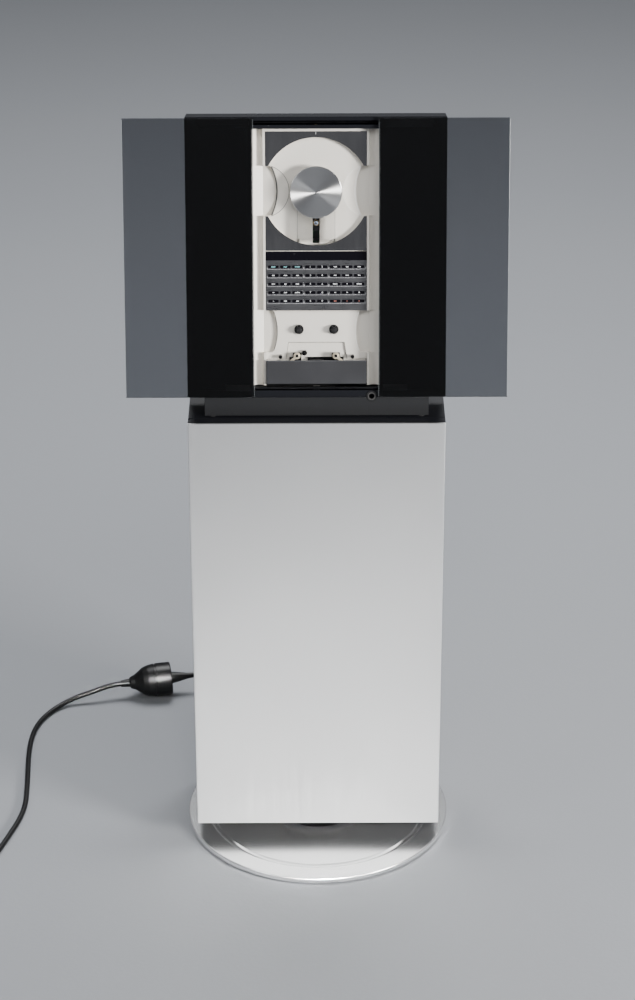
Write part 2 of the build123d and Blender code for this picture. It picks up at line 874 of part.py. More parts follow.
def deck_moulding():
    deck = block((-deck_half, deck_half), (deck_face, deck_back), (deck_low, opening_high))
    recess = (deck_face, deck_face + plate_thickness)
    deck -= block((-plate_half, plate_half), recess, (keypad_low, upper_plate_top))
    spans = [(deck_low, tape_grip[0]), (tape_grip[1], disc_grip[0]), (disc_grip[1], opening_high)]
    for span in spans:
        deck -= both_sides(rod_z(channel_x, deck_face, span, channel_radius))
    deck -= rod_y(0, (deck_face - 1, well_floor), well_v, well_radius)
    for side in (-1, 1):
        ball_w = well_floor - sqrt(scoop_ball ** 2 - scoop_radius ** 2)
        ball = Pos(side * scoop_x, ball_w, well_v) * Sphere(scoop_ball)
        near = sorted((side * (scoop_x - scoop_radius), side * scoop_x))
        reach = (well_v - scoop_radius, well_v + scoop_radius)
        deck -= ball & block(near, (deck_face, deck_back), reach)
    deck -= both_sides(grip_recess(disc_grip, well_v))
    deck -= block((-plate_half, plate_half), (deck_face - 1, tape_floor), (tape_bed_low, keypad_low))
    deck -= both_sides(grip_recess(tape_grip, (tape_grip[0] + tape_grip[1]) / 2))
    deck -= block((-plate_half, plate_half), (deck_face - 1, bridge_floor), (deck_low, tape_bed_low + 1))
    sole = Polyline((-bridge_low_half, tape_bed_low), (-bridge_top_half, bridge_top),
                    (bridge_top_half, bridge_top), (bridge_low_half, tape_bed_low), close=True)
    trapeze = Plane(origin=(0, bridge_floor, 0), x_dir=(1, 0, 0), z_dir=(0, -1, 0)) * make_face(sole)
    deck -= extrude(trapeze, bridge_floor - tape_floor + 1)
    keys = (keypad_low + 2, keypad_high - 1)
    deck -= block((-plate_half + 1.2, plate_half - 1.2), (deck_face, deck_back), keys)
    window = (deck_face, deck_face + window_depth)
    deck -= block((-window_half, window_half), window, (window_low, window_high))
    deck -= block((-lens_slot_half, lens_slot_half), (well_floor - 1, deck_back), lens_slot)
    deck -= rod_y(0, (well_floor - 1, deck_back), well_v, spindle_radius + 1)
    under = deck_face + plate_thickness
    slot = arm_half + 0.6
    deck -= block((-slot, slot), (under, 25), (arm_pivot_v - 3.4, arm_pivot_v + 3.4))
    leg = block((arm_leg_inner - 0.6, slot), (under, 25), (arm_pivot_v - 3.4, arm_riser_v + 2.5))
    deck -= both_sides(leg)
    pin = slot + arm_pin_length
    deck -= rod_x((-pin, pin), arm_pivot_w, arm_pivot_v, arm_pin_radius + run_gap)
    for side in (-1, 1):
        deck -= rod_y(side * reel_x, (tape_floor - 1, deck_back), reel_v, reel_shaft_radius + run_gap)
        for end in sled_rod_span:
            boss = (end - rod_boss, end) if end < well_v else (end, end + rod_boss)
            x = side * sled_rod_x
            deck += block((x - rod_boss, x + rod_boss), (deck_back, sled_rod_w + rod_boss), boss)
        deck -= rod_z(side * sled_rod_x, sled_rod_w, sled_rod_span, sled_rod_radius + run_gap)
    return deck


def deck_plates():
    w = (deck_face, deck_face + plate_thickness)
    half = plate_half
    upper = block((-half, half), w, (disc_grip[1], upper_plate_top))
    lower = block((-half, half), w, (plate_low, disc_grip[0]))
    plates = []
    for plate in (upper, lower):
        plate = chamfer(plate.edges().group_by(Axis.Y)[0], 0.3)
        plates.append(plate - rod_y(0, (0, deck_back), well_v, well_radius))
    return plates


def display_window():
    w = (deck_face - window_proud, deck_face + window_depth)
    window = block((-window_half, window_half), w, (window_low, window_high))
    return chamfer(window.edges().group_by(Axis.Y)[0], 0.3)


def key_middle(row):
    return key_top_v - row * key_pitch


def keypad_plate():
    w = (deck_face, deck_face + plate_thickness)
    plate = block((-plate_half, plate_half), w, (keypad_low, keypad_high))
    half = key_height / 2 + key_slot_gap
    for row in range(key_rows):
        middle = key_middle(row)
        for low, high in key_groups.values():
            x = (low - key_slot_gap, high + key_slot_gap)
            plate -= block(x, w, (middle - half, middle + half))
    return plate


def key_stem_xs(group):
    low, high = key_groups[group]
    count = middle_key_count if group == "middle" else side_key_count
    return [low + (high - low) * (index + 0.5) / count for index in range(count)]


def key_bar(row, group):
    low, high = key_groups[group]
    middle = key_middle(row)
    half = key_height / 2
    flange_w = deck_face + plate_thickness + move_gap
    bar = block((low, high), (deck_face - key_proud, flange_w), (middle - half, middle + half))
    bar = chamfer(bar.edges().group_by(Axis.Y)[0], key_edge)
    wide = half + key_flange
    flange = (flange_w, flange_w + key_flange_thickness)
    bar += block((low, high), flange, (middle - wide, middle + wide))
    end = deck_back - switch_height - key_travel - move_gap
    for x in key_stem_xs(group):
        bar += rod_y(x, (flange[1], end), middle, key_stem_radius)
    return bar


def keypad_board():
    w = (deck_back, deck_back + board_thickness)
    board = block((-plate_half, plate_half), w, (keypad_low, keypad_high))
    for row in range(key_rows):
        for group in key_groups:
            for x in key_stem_xs(group):
                board += rod_y(x, (deck_back - switch_height, deck_back), key_middle(row), switch_radius)
    return board


# Disc player

def clamp_arm():
    w = (arm_face, arm_face + arm_thickness)
    top = well_v + 13
    arm = block((-arm_half, arm_half), w, (arm_riser_v, top))
    foot_w = (arm_pivot_w - arm_thickness / 2, arm_pivot_w + arm_thickness / 2)
    riser = (arm_riser_v, arm_riser_v + arm_thickness)
    leg = block((arm_leg_inner, arm_half), (arm_face, foot_w[1]), riser)
    leg += block((arm_leg_inner, arm_half), foot_w, (arm_pivot_v, riser[1]))
    arm += both_sides(leg)
    arm += rod_x((-arm_half, arm_half), arm_pivot_w, arm_pivot_v, arm_barrel_radius)
    pin = arm_half + arm_pin_length
    arm += rod_x((-pin, pin), arm_pivot_w, arm_pivot_v, arm_pin_radius)
    return arm - rod_y(0, w, well_v, clamp_neck_radius + run_gap)


def clamp_disc():
    cap_back = clamp_face + clamp_thickness
    pad_face = arm_face + arm_thickness + move_gap
    plate_back = clamp_pad_back - clamp_pad_thickness
    points = [
        (0, clamp_face), (clamp_radius - 0.6, clamp_face), (clamp_radius, clamp_face + 0.6),
        (clamp_radius, cap_back), (clamp_neck_radius, cap_back), (clamp_neck_radius, pad_face),
        (clamp_pad_radius, pad_face), (clamp_pad_radius, plate_back), (0, plate_back)]
    return turned(points, (0, well_v))


def clamp_pad():
    # The soft ring that presses on the disc, round the hub's cone.
    w = (clamp_pad_back - clamp_pad_thickness, clamp_pad_back)
    return rod_y(0, w, well_v, clamp_pad_radius) - rod_y(0, w, well_v, clamp_pad_hole)


def disc_hub():
    table_back = table_w + table_thickness
    points = [
        (0, table_w - cone_height), (cone_radius - 1, table_w - cone_height), (cone_radius, table_w - 0.8),
        (cone_radius, table_w), (table_radius, table_w), (table_radius, table_back),
        (spindle_radius, table_back), (spindle_radius, table_back + spindle_length),
        (0, table_back + spindle_length)]
    return turned(points, (0, well_v))


def spindle_motor():
    back = deck_back + spindle_motor_length
    motor = rod_y(0, (deck_back, back), well_v, spindle_motor_radius)
    end = table_w + table_thickness + spindle_length + 0.5
    return motor - rod_y(0, (deck_back, end), well_v, spindle_radius + run_gap)


def laser_sled():
    v = (lens_v - sled_height / 2, lens_v + sled_height / 2)
    sled = block((-sled_half, sled_half), (sled_face, sled_back), v)
    sled += rod_y(0, (lens_w + 0.8, sled_face), lens_v, lens_radius)
    sled += rod_y(0, (lens_w, sled_face), lens_v, lens_radius - 1)
    for x in (-sled_rod_x, sled_rod_x):
        sled -= rod_z(x, sled_rod_w, v, sled_rod_radius + run_gap)
    return sled


# Cassette player

def reel_hub():
    collar = (18.5, tape_floor - move_gap)
    hub = rod_y(reel_x, collar, reel_v, reel_collar_radius)
    hub += rod_y(reel_x, (reel_tip_w, collar[0]), reel_v, reel_spindle_radius)
    hub = chamfer(hub.edges().group_by(Axis.Y)[0], 1.0)
    fin = block((0, reel_fin_radius), (reel_tip_w + 1.5, collar[0]), (-0.6, 0.6))
    for index in range(reel_fins):
        hub += Pos(reel_x, 0, reel_v) * Rot(0, 360 * index / reel_fins, 0) * fin
    pulley = (deck_back + move_gap, deck_back + move_gap + 3)
    hub += rod_y(reel_x, (collar[1], pulley[0]), reel_v, reel_shaft_radius)
    return hub + rod_y(reel_x, pulley, reel_v, reel_pulley_radius)


def head_bridge():
    plate = (bridge_plate_w, bridge_plate_w + bridge_plate)
    bridge = block((-bridge_half, bridge_half), plate, bridge_span)
    notch = (capstan_x - capstan_radius - 1, capstan_x + capstan_radius + 1)
    bridge -= block(notch, plate, (capstan_v - capstan_radius - bridge_travel - 1, bridge_span[1]))
    head = block((-head_block_half, head_block_half), (13, plate[0]), (27, 45))
    bridge += fillet(head.edges().filter_by(Axis.Y).group_by(Axis.Z)[-1], 2)
    for side in (-1, 1):
        x = side * roller_x
        foot = (roller_span[1] + move_gap, plate[1])
        bridge += block((x - 5, x + 5), foot, (roller_bracket_low, roller_v + 2.6))
        axle = (roller_span[0] - move_gap, foot[0])
        bridge += rod_y(x, axle, roller_v, roller_axle_radius)
        cap = (axle[0] - 0.8, axle[0])
        bridge += rod_y(x, cap, roller_v, 1.8)
    return bridge


def pinch_roller():
    roller = rod_y(roller_x, roller_span, roller_v, roller_radius)
    return roller - rod_y(roller_x, roller_span, roller_v, roller_axle_radius + run_gap)


def tape_plate():
    v = (tape_plate_low, tape_plate_high)
    face = (tape_plate_face, tape_plate_face + tape_plate_wall)
    plate = block((-tape_plate_half, tape_plate_half), face, v)
    plate = chamfer(plate.edges().group_by(Axis.Y)[0], 0.8)
    inner = tape_plate_half - tape_plate_wall
    return plate + both_sides(block((inner, tape_plate_half), (face[1], bridge_floor), v))


def deck_rods_and_pins():
    pieces = []
    for side in (-1, 1):
        pieces.append(rod_z(side * sled_rod_x, sled_rod_w, sled_rod_span, sled_rod_radius))
        post = rod_y(side * post_x, (14, tape_floor), post_v, post_radius)
        pieces.append(chamfer(post.edges().group_by(Axis.Y)[0], 0.8))
    capstan = rod_y(capstan_x, (18.5, bridge_floor), capstan_v, capstan_radius)
    capstan += rod_y(capstan_x, (13, 18.5), capstan_v, 1.2)
    pieces.append(capstan)
    return pieces


# Electronics

def main_board():
    w = (board_w, board_w + board_thickness)
    board = block(main_board_x, w, main_board_v)
    for x, v, wide, tall, high in board_chips:
        chip = (w[0] - high, w[0])
        board += block((x - wide / 2, x + wide / 2), chip, (v - tall / 2, v + tall / 2))
    for x, v in board_cans:
        board += rod_y(x, (w[1], w[1] + can_height), v, can_radius)
    return board


def transformer():
    back = cover_back - cover_wall
    low, high = -cover_half + core_inset, -cover_half + core_inset + core_width
    core = block((low, high), (back - core_depth, back), core_v)
    winding = (back - core_depth + winding_inset, back - winding_inset)
    return core + block((low - winding_overhang, high + winding_overhang), winding, winding_v)


def headphone_socket():
    flange = (socket_front, socket_front + socket_flange)
    end = socket_front + socket_length
    socket = rod_y(socket_x, flange, socket_v, socket_radius)
    socket = chamfer(socket.edges().group_by(Axis.Y)[0], 0.6)
    socket += rod_y(socket_x, (flange[1], end), socket_v, socket_barrel_radius)
    return socket - rod_y(socket_x, (flange[0], end - 3), socket_v, jack_radius)


# Mains lead

def joint_plane():
    flat = radians(joint_turn)
    drop = radians(joint_drop)
    along = (-cos(flat) * cos(drop), -sin(flat) * cos(drop), -sin(drop))
    return Plane(origin=joint_point, x_dir=(sin(flat), -cos(flat), 0), z_dir=along)


def joint_at(distance):
    plane = joint_plane()
    return plane.origin + plane.z_dir * distance


def lead_coupling():
    plane = joint_plane()
    outline = [(0, socket_profile[0][0])] + [(r, s) for s, r in socket_profile] + [(0, socket_profile[-1][0])]
    socket = plane * revolve(Plane.XZ * make_face(Polyline(*outline, close=True)), Axis.Z)
    tail = [(0, 0)] + [(r, -s) for s, r in plug_profile] + [(0, -plug_profile[-1][0])]
    return [socket, plane * revolve(Plane.XZ * make_face(Polyline(*tail, close=True)), Axis.Z)]


def lead_gland():
    face = hub_boss_reach
    end = face + gland_length
    points = [(0, face), (gland_flange_radius, face), (gland_flange_radius, face + gland_flange),
              (gland_flange_radius - 1.2, face + gland_flange), (lead_radius + 0.9, end), (0, end)]
    return turned(points, (0, gland_z))


def lead_tube(name, points, thick):
    # Straight runs joined by arcs as large as the two runs allow.
    places = [Vector(*point) for point in points]
    radii = []
    for before, here, after in zip(places, places[1:], places[2:]):
        turn = (here - before).get_angle(after - here)
        shorter = min((here - before).length, (after - here).length)
        radii.append(0.45 * shorter / tan(radians(turn / 2)))
    path = FilletPolyline(*places, radius=radii)
    tube = sweep(Plane(origin=path @ 0, z_dir=path % 0) * Circle(thick), path=path)
    ideal = pi * thick ** 2 * path.length
    print(name, "length", round(path.length, 1), "volume ratio", round(tube.volume / ideal, 5))
    print("  radii", [round(radius) for radius in radii])
    return tube


def route_to_plug():
    start = (0, hub_boss_reach + gland_length, gland_z)
    second = (0, start[1] + lead_first_run, gland_z)
    tail = plug_profile[-1][0]
    return [start, second] + hub_to_plug + [tuple(joint_at(-tail - 26)), tuple(joint_at(-tail))]


def route_to_coil():
    tail = socket_profile[-1][0]
    ends = 2 * extension_radius
    last = [coil_at(-coil_outer, -ends - run, extension_radius) for run in (coil_first_run, 0)]
    return [tuple(joint_at(tail)), tuple(joint_at(tail + 14))] + socket_to_coil + last


def coil_plane():
    # The coil's own frame: the lead comes in along +Y at x = -coil_outer.
    heading = radians(coil_heading)
    right = Vector(sin(heading), -cos(heading), 0)
    middle = Vector(coil_entry[0], coil_entry[1], 0) + right * coil_outer
    return Plane(origin=middle, x_dir=right, z_dir=(0, 0, 1))


def coil_at(x, y, z):
    return tuple(coil_plane().from_local_coords(Vector(x, y, z)))


def coil_path():
    # Half turns from outside to inside, one that climbs, and half turns out again on top.
    radii = [coil_outer - coil_pitch / 2 * turn for turn in range(coil_half_turns)]
    radii.append(radii[-1] - coil_pitch / 2 - coil_dip)
    stops = [(radius, extension_radius) for radius in radii] + [(radius, coil_top) for radius in reversed(radii)]
    stops = [((-1) ** (turn + 1) * radius, 0, z) for turn, (radius, z) in enumerate(stops)]
    ends = 2 * extension_radius
    edges = [Line((stops[0][0], -ends, stops[0][2]), stops[0])]
    for start, end in zip(stops, stops[1:]):
        ahead = 1 if start[0] < 0 else -1
        edges.append(TangentArc(start, end, tangent=(0, ahead, 0)))
    edges.append(Line(stops[-1], (stops[-1][0], -ends, stops[-1][2])))
    return Wire(edges)


def least_gap(path, apart):
    # Between parts of a path that are at least this far apart along it.
    count = round(path.length)
    spots = [tuple(path @ (index / count)) for index in range(count + 1)]
    least = coil_outer ** 2
    for index, here in enumerate(spots):
        for other in spots[index + apart:]:
            span = (here[0] - other[0]) ** 2 + (here[1] - other[1]) ** 2 + (here[2] - other[2]) ** 2
            least = min(least, span)
    return sqrt(least) - 2 * extension_radius


def lead_coil():
    path = coil_path()
    tube = sweep(Plane(origin=path @ 0, z_dir=path % 0) * Circle(extension_radius), path=path)
    ideal = pi * extension_radius ** 2 * path.length
    print("lead_coil length", round(path.length, 1), "volume ratio", round(tube.volume / ideal, 5))
    print("  least gap to itself", round(least_gap(path, 30), 2))
    return coil_plane() * tube


def mains_plug():
    tail_end = -2 * extension_radius
    face = tail_end - end_plug_tail
    back = face - end_plug_length
    half = end_plug_width / 2
    plug = block((coil_outer - half, coil_outer + half), (back, face), (0, 2 * coil_top))
    plug = fillet(plug.edges(), 4)
    tail = [(0, tail_end), (extension_radius + 0.8, tail_end), (7.5, face), (7.5, face - 4), (0, face - 4)]
    plug += turned(tail, (coil_outer, coil_top))
    for side in (-1, 1):
        x = coil_outer + side * end_pin_spacing / 2
        plug += rod_y(x, (back - end_pin_length, back), coil_top, end_pin_radius)
    return coil_plane() * plug


# All pieces. Those of the head are made upright and then leaned back.

def straight_pieces():
    return {
        "base_disc": foot_disc(),
        "base_feet": foot_pads(),
        "swivel_hub": swivel_hub(),
        "lead_gland": lead_gland(),
        "appliance_lead": lead_tube("appliance_lead", route_to_plug(), lead_radius),
        "mains_coupling": lead_coupling(),
        "extension_lead": lead_tube("extension_lead", route_to_coil(), extension_radius),
        "lead_coil": lead_coil(),
        "mains_plug": mains_plug(),
        "cabinet_shell": cabinet_shell(),
        "cabinet_back": cabinet_back(),
        "back_screws": back_screws(),
        "disc_shelves": [shelf_divider(), shelves(), shelf_stops()],
        "door_hinges": door_hinges(),
        "door_panel": door_panel(),
        "door_frame": door_frame(),
        "neck_bracket": neck_bracket(),
        "neck_feet": neck_feet(),
    }


def head_pieces():
    pieces = {
        "front_frame": front_frame(),
        "rear_cover": rear_cover(),
        "rails_and_rods": [door_rails(), deck_rods_and_pins()],
        "motors": [door_motor(), spindle_motor()],
        "door_pinion": door_pinion(),
        "right_glass_door": glass_door(),
        "left_glass_door": mirrored(glass_door()),
        "right_door_carrier": right_carrier(),
        "left_door_carrier": left_carrier(),
        "deck_moulding": deck_moulding(),
        "deck_plates": deck_plates(),
        "display_window": display_window(),
        "keypad_plate": keypad_plate(),
        "circuit_boards": [keypad_board(), main_board()],
        "transformer": transformer(),
        "headphone_socket": headphone_socket(),
        "cassette_plate": tape_plate(),
        "clamp_arm": clamp_arm(),
        "clamp_disc": clamp_disc(),
        "clamp_pad": clamp_pad(),
        "disc_hub": disc_hub(),
        "laser_sled": laser_sled(),
        "reel_hub_right": reel_hub(),
        "reel_hub_left": mirrored(reel_hub()),
        "head_bridge": head_bridge(),
        "pinch_roller_right": pinch_roller(),
        "pinch_roller_left": mirrored(pinch_roller()),
    }
    for row in range(key_rows):
        for group in key_groups:
            pieces[f"key_bar_{row + 1}_{group}"] = key_bar(row, group)
    return pieces


def solids_of(shape):
    if isinstance(shape, list):
        return [solid for part in shape for solid in solids_of(part)]
    return list(shape.solids())


os.makedirs("parts", exist_ok=True)
nodes = {name: solids_of(shape) for name, shape in straight_pieces().items()}
for name, shape in head_pieces().items():
    nodes[name] = [leaned(solid) for solid in solids_of(shape)]
for name, solids in nodes.items():
    body = solids[0] if len(solids) == 1 else Compound(children=solids)
    body.label = name
    export_step(body, f"parts/{name}.step")
    print(name, len(solids), "solids", round(sum(solid.volume for solid in solids)), "mm3")
print(len(nodes), "nodes")
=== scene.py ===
import math
import bmesh
import bpy
from mathutils import Matrix, Vector


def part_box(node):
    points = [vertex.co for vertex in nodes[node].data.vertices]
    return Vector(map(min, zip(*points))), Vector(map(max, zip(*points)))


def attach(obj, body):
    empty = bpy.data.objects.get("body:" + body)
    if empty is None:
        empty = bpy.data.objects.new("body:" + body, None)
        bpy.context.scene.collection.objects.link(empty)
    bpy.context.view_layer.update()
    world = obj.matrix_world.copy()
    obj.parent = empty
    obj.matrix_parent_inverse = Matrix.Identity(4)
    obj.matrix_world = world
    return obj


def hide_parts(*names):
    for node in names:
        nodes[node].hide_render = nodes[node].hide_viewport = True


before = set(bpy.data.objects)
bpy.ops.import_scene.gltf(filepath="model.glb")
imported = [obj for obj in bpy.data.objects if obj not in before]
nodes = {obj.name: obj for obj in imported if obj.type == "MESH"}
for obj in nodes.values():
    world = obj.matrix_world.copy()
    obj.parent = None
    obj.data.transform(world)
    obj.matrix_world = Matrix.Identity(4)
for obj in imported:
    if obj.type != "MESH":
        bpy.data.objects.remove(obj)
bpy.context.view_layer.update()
print("frame loaded:", len(nodes), "nodes")

# Where the leaning head stands: the lower front edge of its glass, and its lean
head = {"lean": math.radians(14.5), "foot": (0, -0.060, 0.636)}
headPlace = Matrix.Translation(head["foot"]) @ Matrix.Rotation(-head["lean"], 4, "X")


def headPoint(x, w, v):
    return headPlace @ Vector((x, w, v))


def selectNone():
    if bpy.context.object and bpy.context.object.mode != "OBJECT":
        bpy.ops.object.mode_set(mode="OBJECT")
    bpy.ops.object.select_all(action="DESELECT")


def activate(piece):
    selectNone()
    piece.select_set(True)
    bpy.context.view_layer.objects.active = piece


def applyPlace(piece):
    activate(piece)
    bpy.ops.object.transform_apply(location=True, rotation=True, scale=True)


def faceFront(piece, x, w, v):
    # From lying flat in XY to the head's upright plane, facing the front
    piece.rotation_euler = (math.radians(90), 0, 0)
    piece.location = (x, w, v)
    applyPlace(piece)


def placeInHead(piece):
    piece.matrix_world = headPlace @ piece.matrix_world
    applyPlace(piece)


def applyModifiers(piece):
    activate(piece)
    for modifier in list(piece.modifiers):
        bpy.ops.object.modifier_apply(modifier=modifier.name)


def raiseFlat(piece, thickness):
    solid = piece.modifiers.new("thickness", "SOLIDIFY")
    solid.thickness = thickness
    solid.offset = 1
    applyModifiers(piece)


def editSelected(piece, chosen, kind="FACE"):
    # Opens edit mode with the faces, edges or corners picked by place or normal
    activate(piece)
    bpy.ops.object.mode_set(mode="EDIT")
    bpy.ops.mesh.select_mode(type=kind)
    bpy.ops.mesh.select_all(action="DESELECT")
    mesh = bmesh.from_edit_mesh(piece.data)
    for part in {"FACE": mesh.faces, "EDGE": mesh.edges, "VERT": mesh.verts}[kind]:
        part.select = chosen(part)
    bmesh.update_edit_mesh(piece.data)


def leaveEdit():
    bpy.ops.object.mode_set(mode="OBJECT")


def turnOutwards():
    bpy.ops.mesh.select_all(action="SELECT")
    bpy.ops.mesh.normals_make_consistent(inside=False)
    leaveEdit()


def joinPieces(pieces, name):
    selectNone()
    for piece in pieces:
        piece.select_set(True)
    bpy.context.view_layer.objects.active = pieces[0]
    if len(pieces) > 1:
        bpy.ops.object.join()
    joined = bpy.context.object
    joined.name = name
    joined.data.name = name
    return joined


def smoothByAngle(piece, angle=40):
    activate(piece)
    bpy.ops.object.shade_smooth_by_angle(angle=math.radians(angle))


def finishPiece(piece, body, material):
    if material:
        piece.data.materials.clear()
        piece.data.materials.append(material)
    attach(piece, body)


def newGroup(name, inputs, outputs):
    group = bpy.data.node_groups.new(name, "ShaderNodeTree")
    for label, kind, value in inputs:
        socket = group.interface.new_socket(label, in_out="INPUT", socket_type=kind)
        if value is not None:
            socket.default_value = value
    for label, kind in outputs:
        group.interface.new_socket(label, in_out="OUTPUT", socket_type=kind)
    return group, group.nodes.new("NodeGroupInput"), group.nodes.new("NodeGroupOutput")


def addMath(tree, operation, first, second=None):
    node = tree.nodes.new("ShaderNodeMath")
    node.operation = operation
    for index, value in enumerate((first, second)):
        if value is None:
            continue
        if isinstance(value, (int, float)):
            node.inputs[index].default_value = value
        else:
            tree.links.new(value, node.inputs[index])
    return node.outputs[0]


def buildGrain():
    # Streaks of a brushed or drawn surface: noise that is stretched along one axis
    group, start, end = newGroup("brushGrain", [
        ("Vector", "NodeSocketVector", None), ("Across", "NodeSocketVector", (1, 1, 1)),
        ("Scale", "NodeSocketFloat", 900.0), ("Low", "NodeSocketFloat", -0.05),
        ("High", "NodeSocketFloat", 0.05),
    ], [("Roughness", "NodeSocketFloat"), ("Height", "NodeSocketFloat")])
    stretch = group.nodes.new("ShaderNodeVectorMath")
    stretch.operation = "MULTIPLY"
    group.links.new(start.outputs["Vector"], stretch.inputs[0])
    group.links.new(start.outputs["Across"], stretch.inputs[1])
    noise = group.nodes.new("ShaderNodeTexNoise")
    noise.inputs["Detail"].default_value = 4
    noise.inputs["Roughness"].default_value = 0.6
    group.links.new(stretch.outputs[0], noise.inputs["Vector"])
    group.links.new(start.outputs["Scale"], noise.inputs["Scale"])
    spread = group.nodes.new("ShaderNodeMapRange")
    spread.inputs["From Min"].default_value = 0.35
    spread.inputs["From Max"].default_value = 0.65
    group.links.new(noise.outputs["Fac"], spread.inputs["Value"])
    group.links.new(start.outputs["Low"], spread.inputs["To Min"])
    group.links.new(start.outputs["High"], spread.inputs["To Max"])
    group.links.new(spread.outputs["Result"], end.inputs["Roughness"])
    group.links.new(noise.outputs["Fac"], end.inputs["Height"])
    return group


def buildMottle():
    # Slow change of tone over a surface, and the faint dust and hand marks that dull it
    group, start, end = newGroup("softMottle", [
        ("Vector", "NodeSocketVector", None), ("Colour", "NodeSocketColor", (0.5, 0.5, 0.5, 1)),
        ("Scale", "NodeSocketFloat", 6.0), ("Change", "NodeSocketFloat", 0.08),
        ("Roughness", "NodeSocketFloat", 0.4), ("Marks", "NodeSocketFloat", 0.1),
    ], [("Colour", "NodeSocketColor"), ("Roughness", "NodeSocketFloat")])
    noise = group.nodes.new("ShaderNodeTexNoise")
    noise.inputs["Detail"].default_value = 5
    group.links.new(start.outputs["Vector"], noise.inputs["Vector"])
    group.links.new(start.outputs["Scale"], noise.inputs["Scale"])
    centred = addMath(group, "SUBTRACT", noise.outputs["Fac"], 0.5)
    tone = addMath(group, "ADD", addMath(group, "MULTIPLY", centred, start.outputs["Change"]), 1.0)
    tint = group.nodes.new("ShaderNodeVectorMath")
    tint.operation = "SCALE"
    group.links.new(start.outputs["Colour"], tint.inputs[0])
    group.links.new(tone, tint.inputs["Scale"])
    group.links.new(tint.outputs[0], end.inputs["Colour"])
    marks = addMath(group, "MULTIPLY", centred, start.outputs["Marks"])
    group.links.new(addMath(group, "ADD", start.outputs["Roughness"], marks), end.inputs["Roughness"])
    return group


def buildSkin():
    # The fine grains of a moulded or powdered skin
    group, start, end = newGroup("fineSkin", [
        ("Vector", "NodeSocketVector", None), ("Scale", "NodeSocketFloat", 1500.0),
    ], [("Height", "NodeSocketFloat")])
    cells = group.nodes.new("ShaderNodeTexVoronoi")
    cells.feature = "SMOOTH_F1"
    group.links.new(start.outputs["Vector"], cells.inputs["Vector"])
    group.links.new(start.outputs["Scale"], cells.inputs["Scale"])
    group.links.new(cells.outputs["Distance"], end.inputs["Height"])
    return group


dustLook = {"scale": 300.0, "size": 0.12, "colour": (0.28, 0.28, 0.29)}


def buildDust():
    # Scattered specks: the few cells whose own random number is high, each near its middle
    group, start, end = newGroup("dustSpecks", [
        ("Vector", "NodeSocketVector", None), ("Scale", "NodeSocketFloat", dustLook["scale"]),
        ("Share", "NodeSocketFloat", 0.1), ("Size", "NodeSocketFloat", dustLook["size"]),
    ], [("Mask", "NodeSocketFloat")])
    cells = group.nodes.new("ShaderNodeTexVoronoi")
    group.links.new(start.outputs["Vector"], cells.inputs["Vector"])
    group.links.new(start.outputs["Scale"], cells.inputs["Scale"])
    parts = group.nodes.new("ShaderNodeSeparateColor")
    group.links.new(cells.outputs["Color"], parts.inputs[0])
    near = addMath(group, "LESS_THAN", cells.outputs["Distance"], start.outputs["Size"])
    chosen = addMath(group, "LESS_THAN", parts.outputs[0], start.outputs["Share"])
    faded = addMath(group, "MULTIPLY", chosen, parts.outputs[1])
    group.links.new(addMath(group, "MULTIPLY", near, faded), end.inputs["Mask"])
    return group


grainGroup = buildGrain()
mottleGroup = buildMottle()
skinGroup = buildSkin()
dustGroup = buildDust()


def addGroup(tree, group, values):
    node = tree.nodes.new("ShaderNodeGroup")
    node.node_tree = group
    for label, value in values.items():
        if hasattr(value, "is_output"):
            tree.links.new(value, node.inputs[label])
        else:
            node.inputs[label].default_value = value
    return node


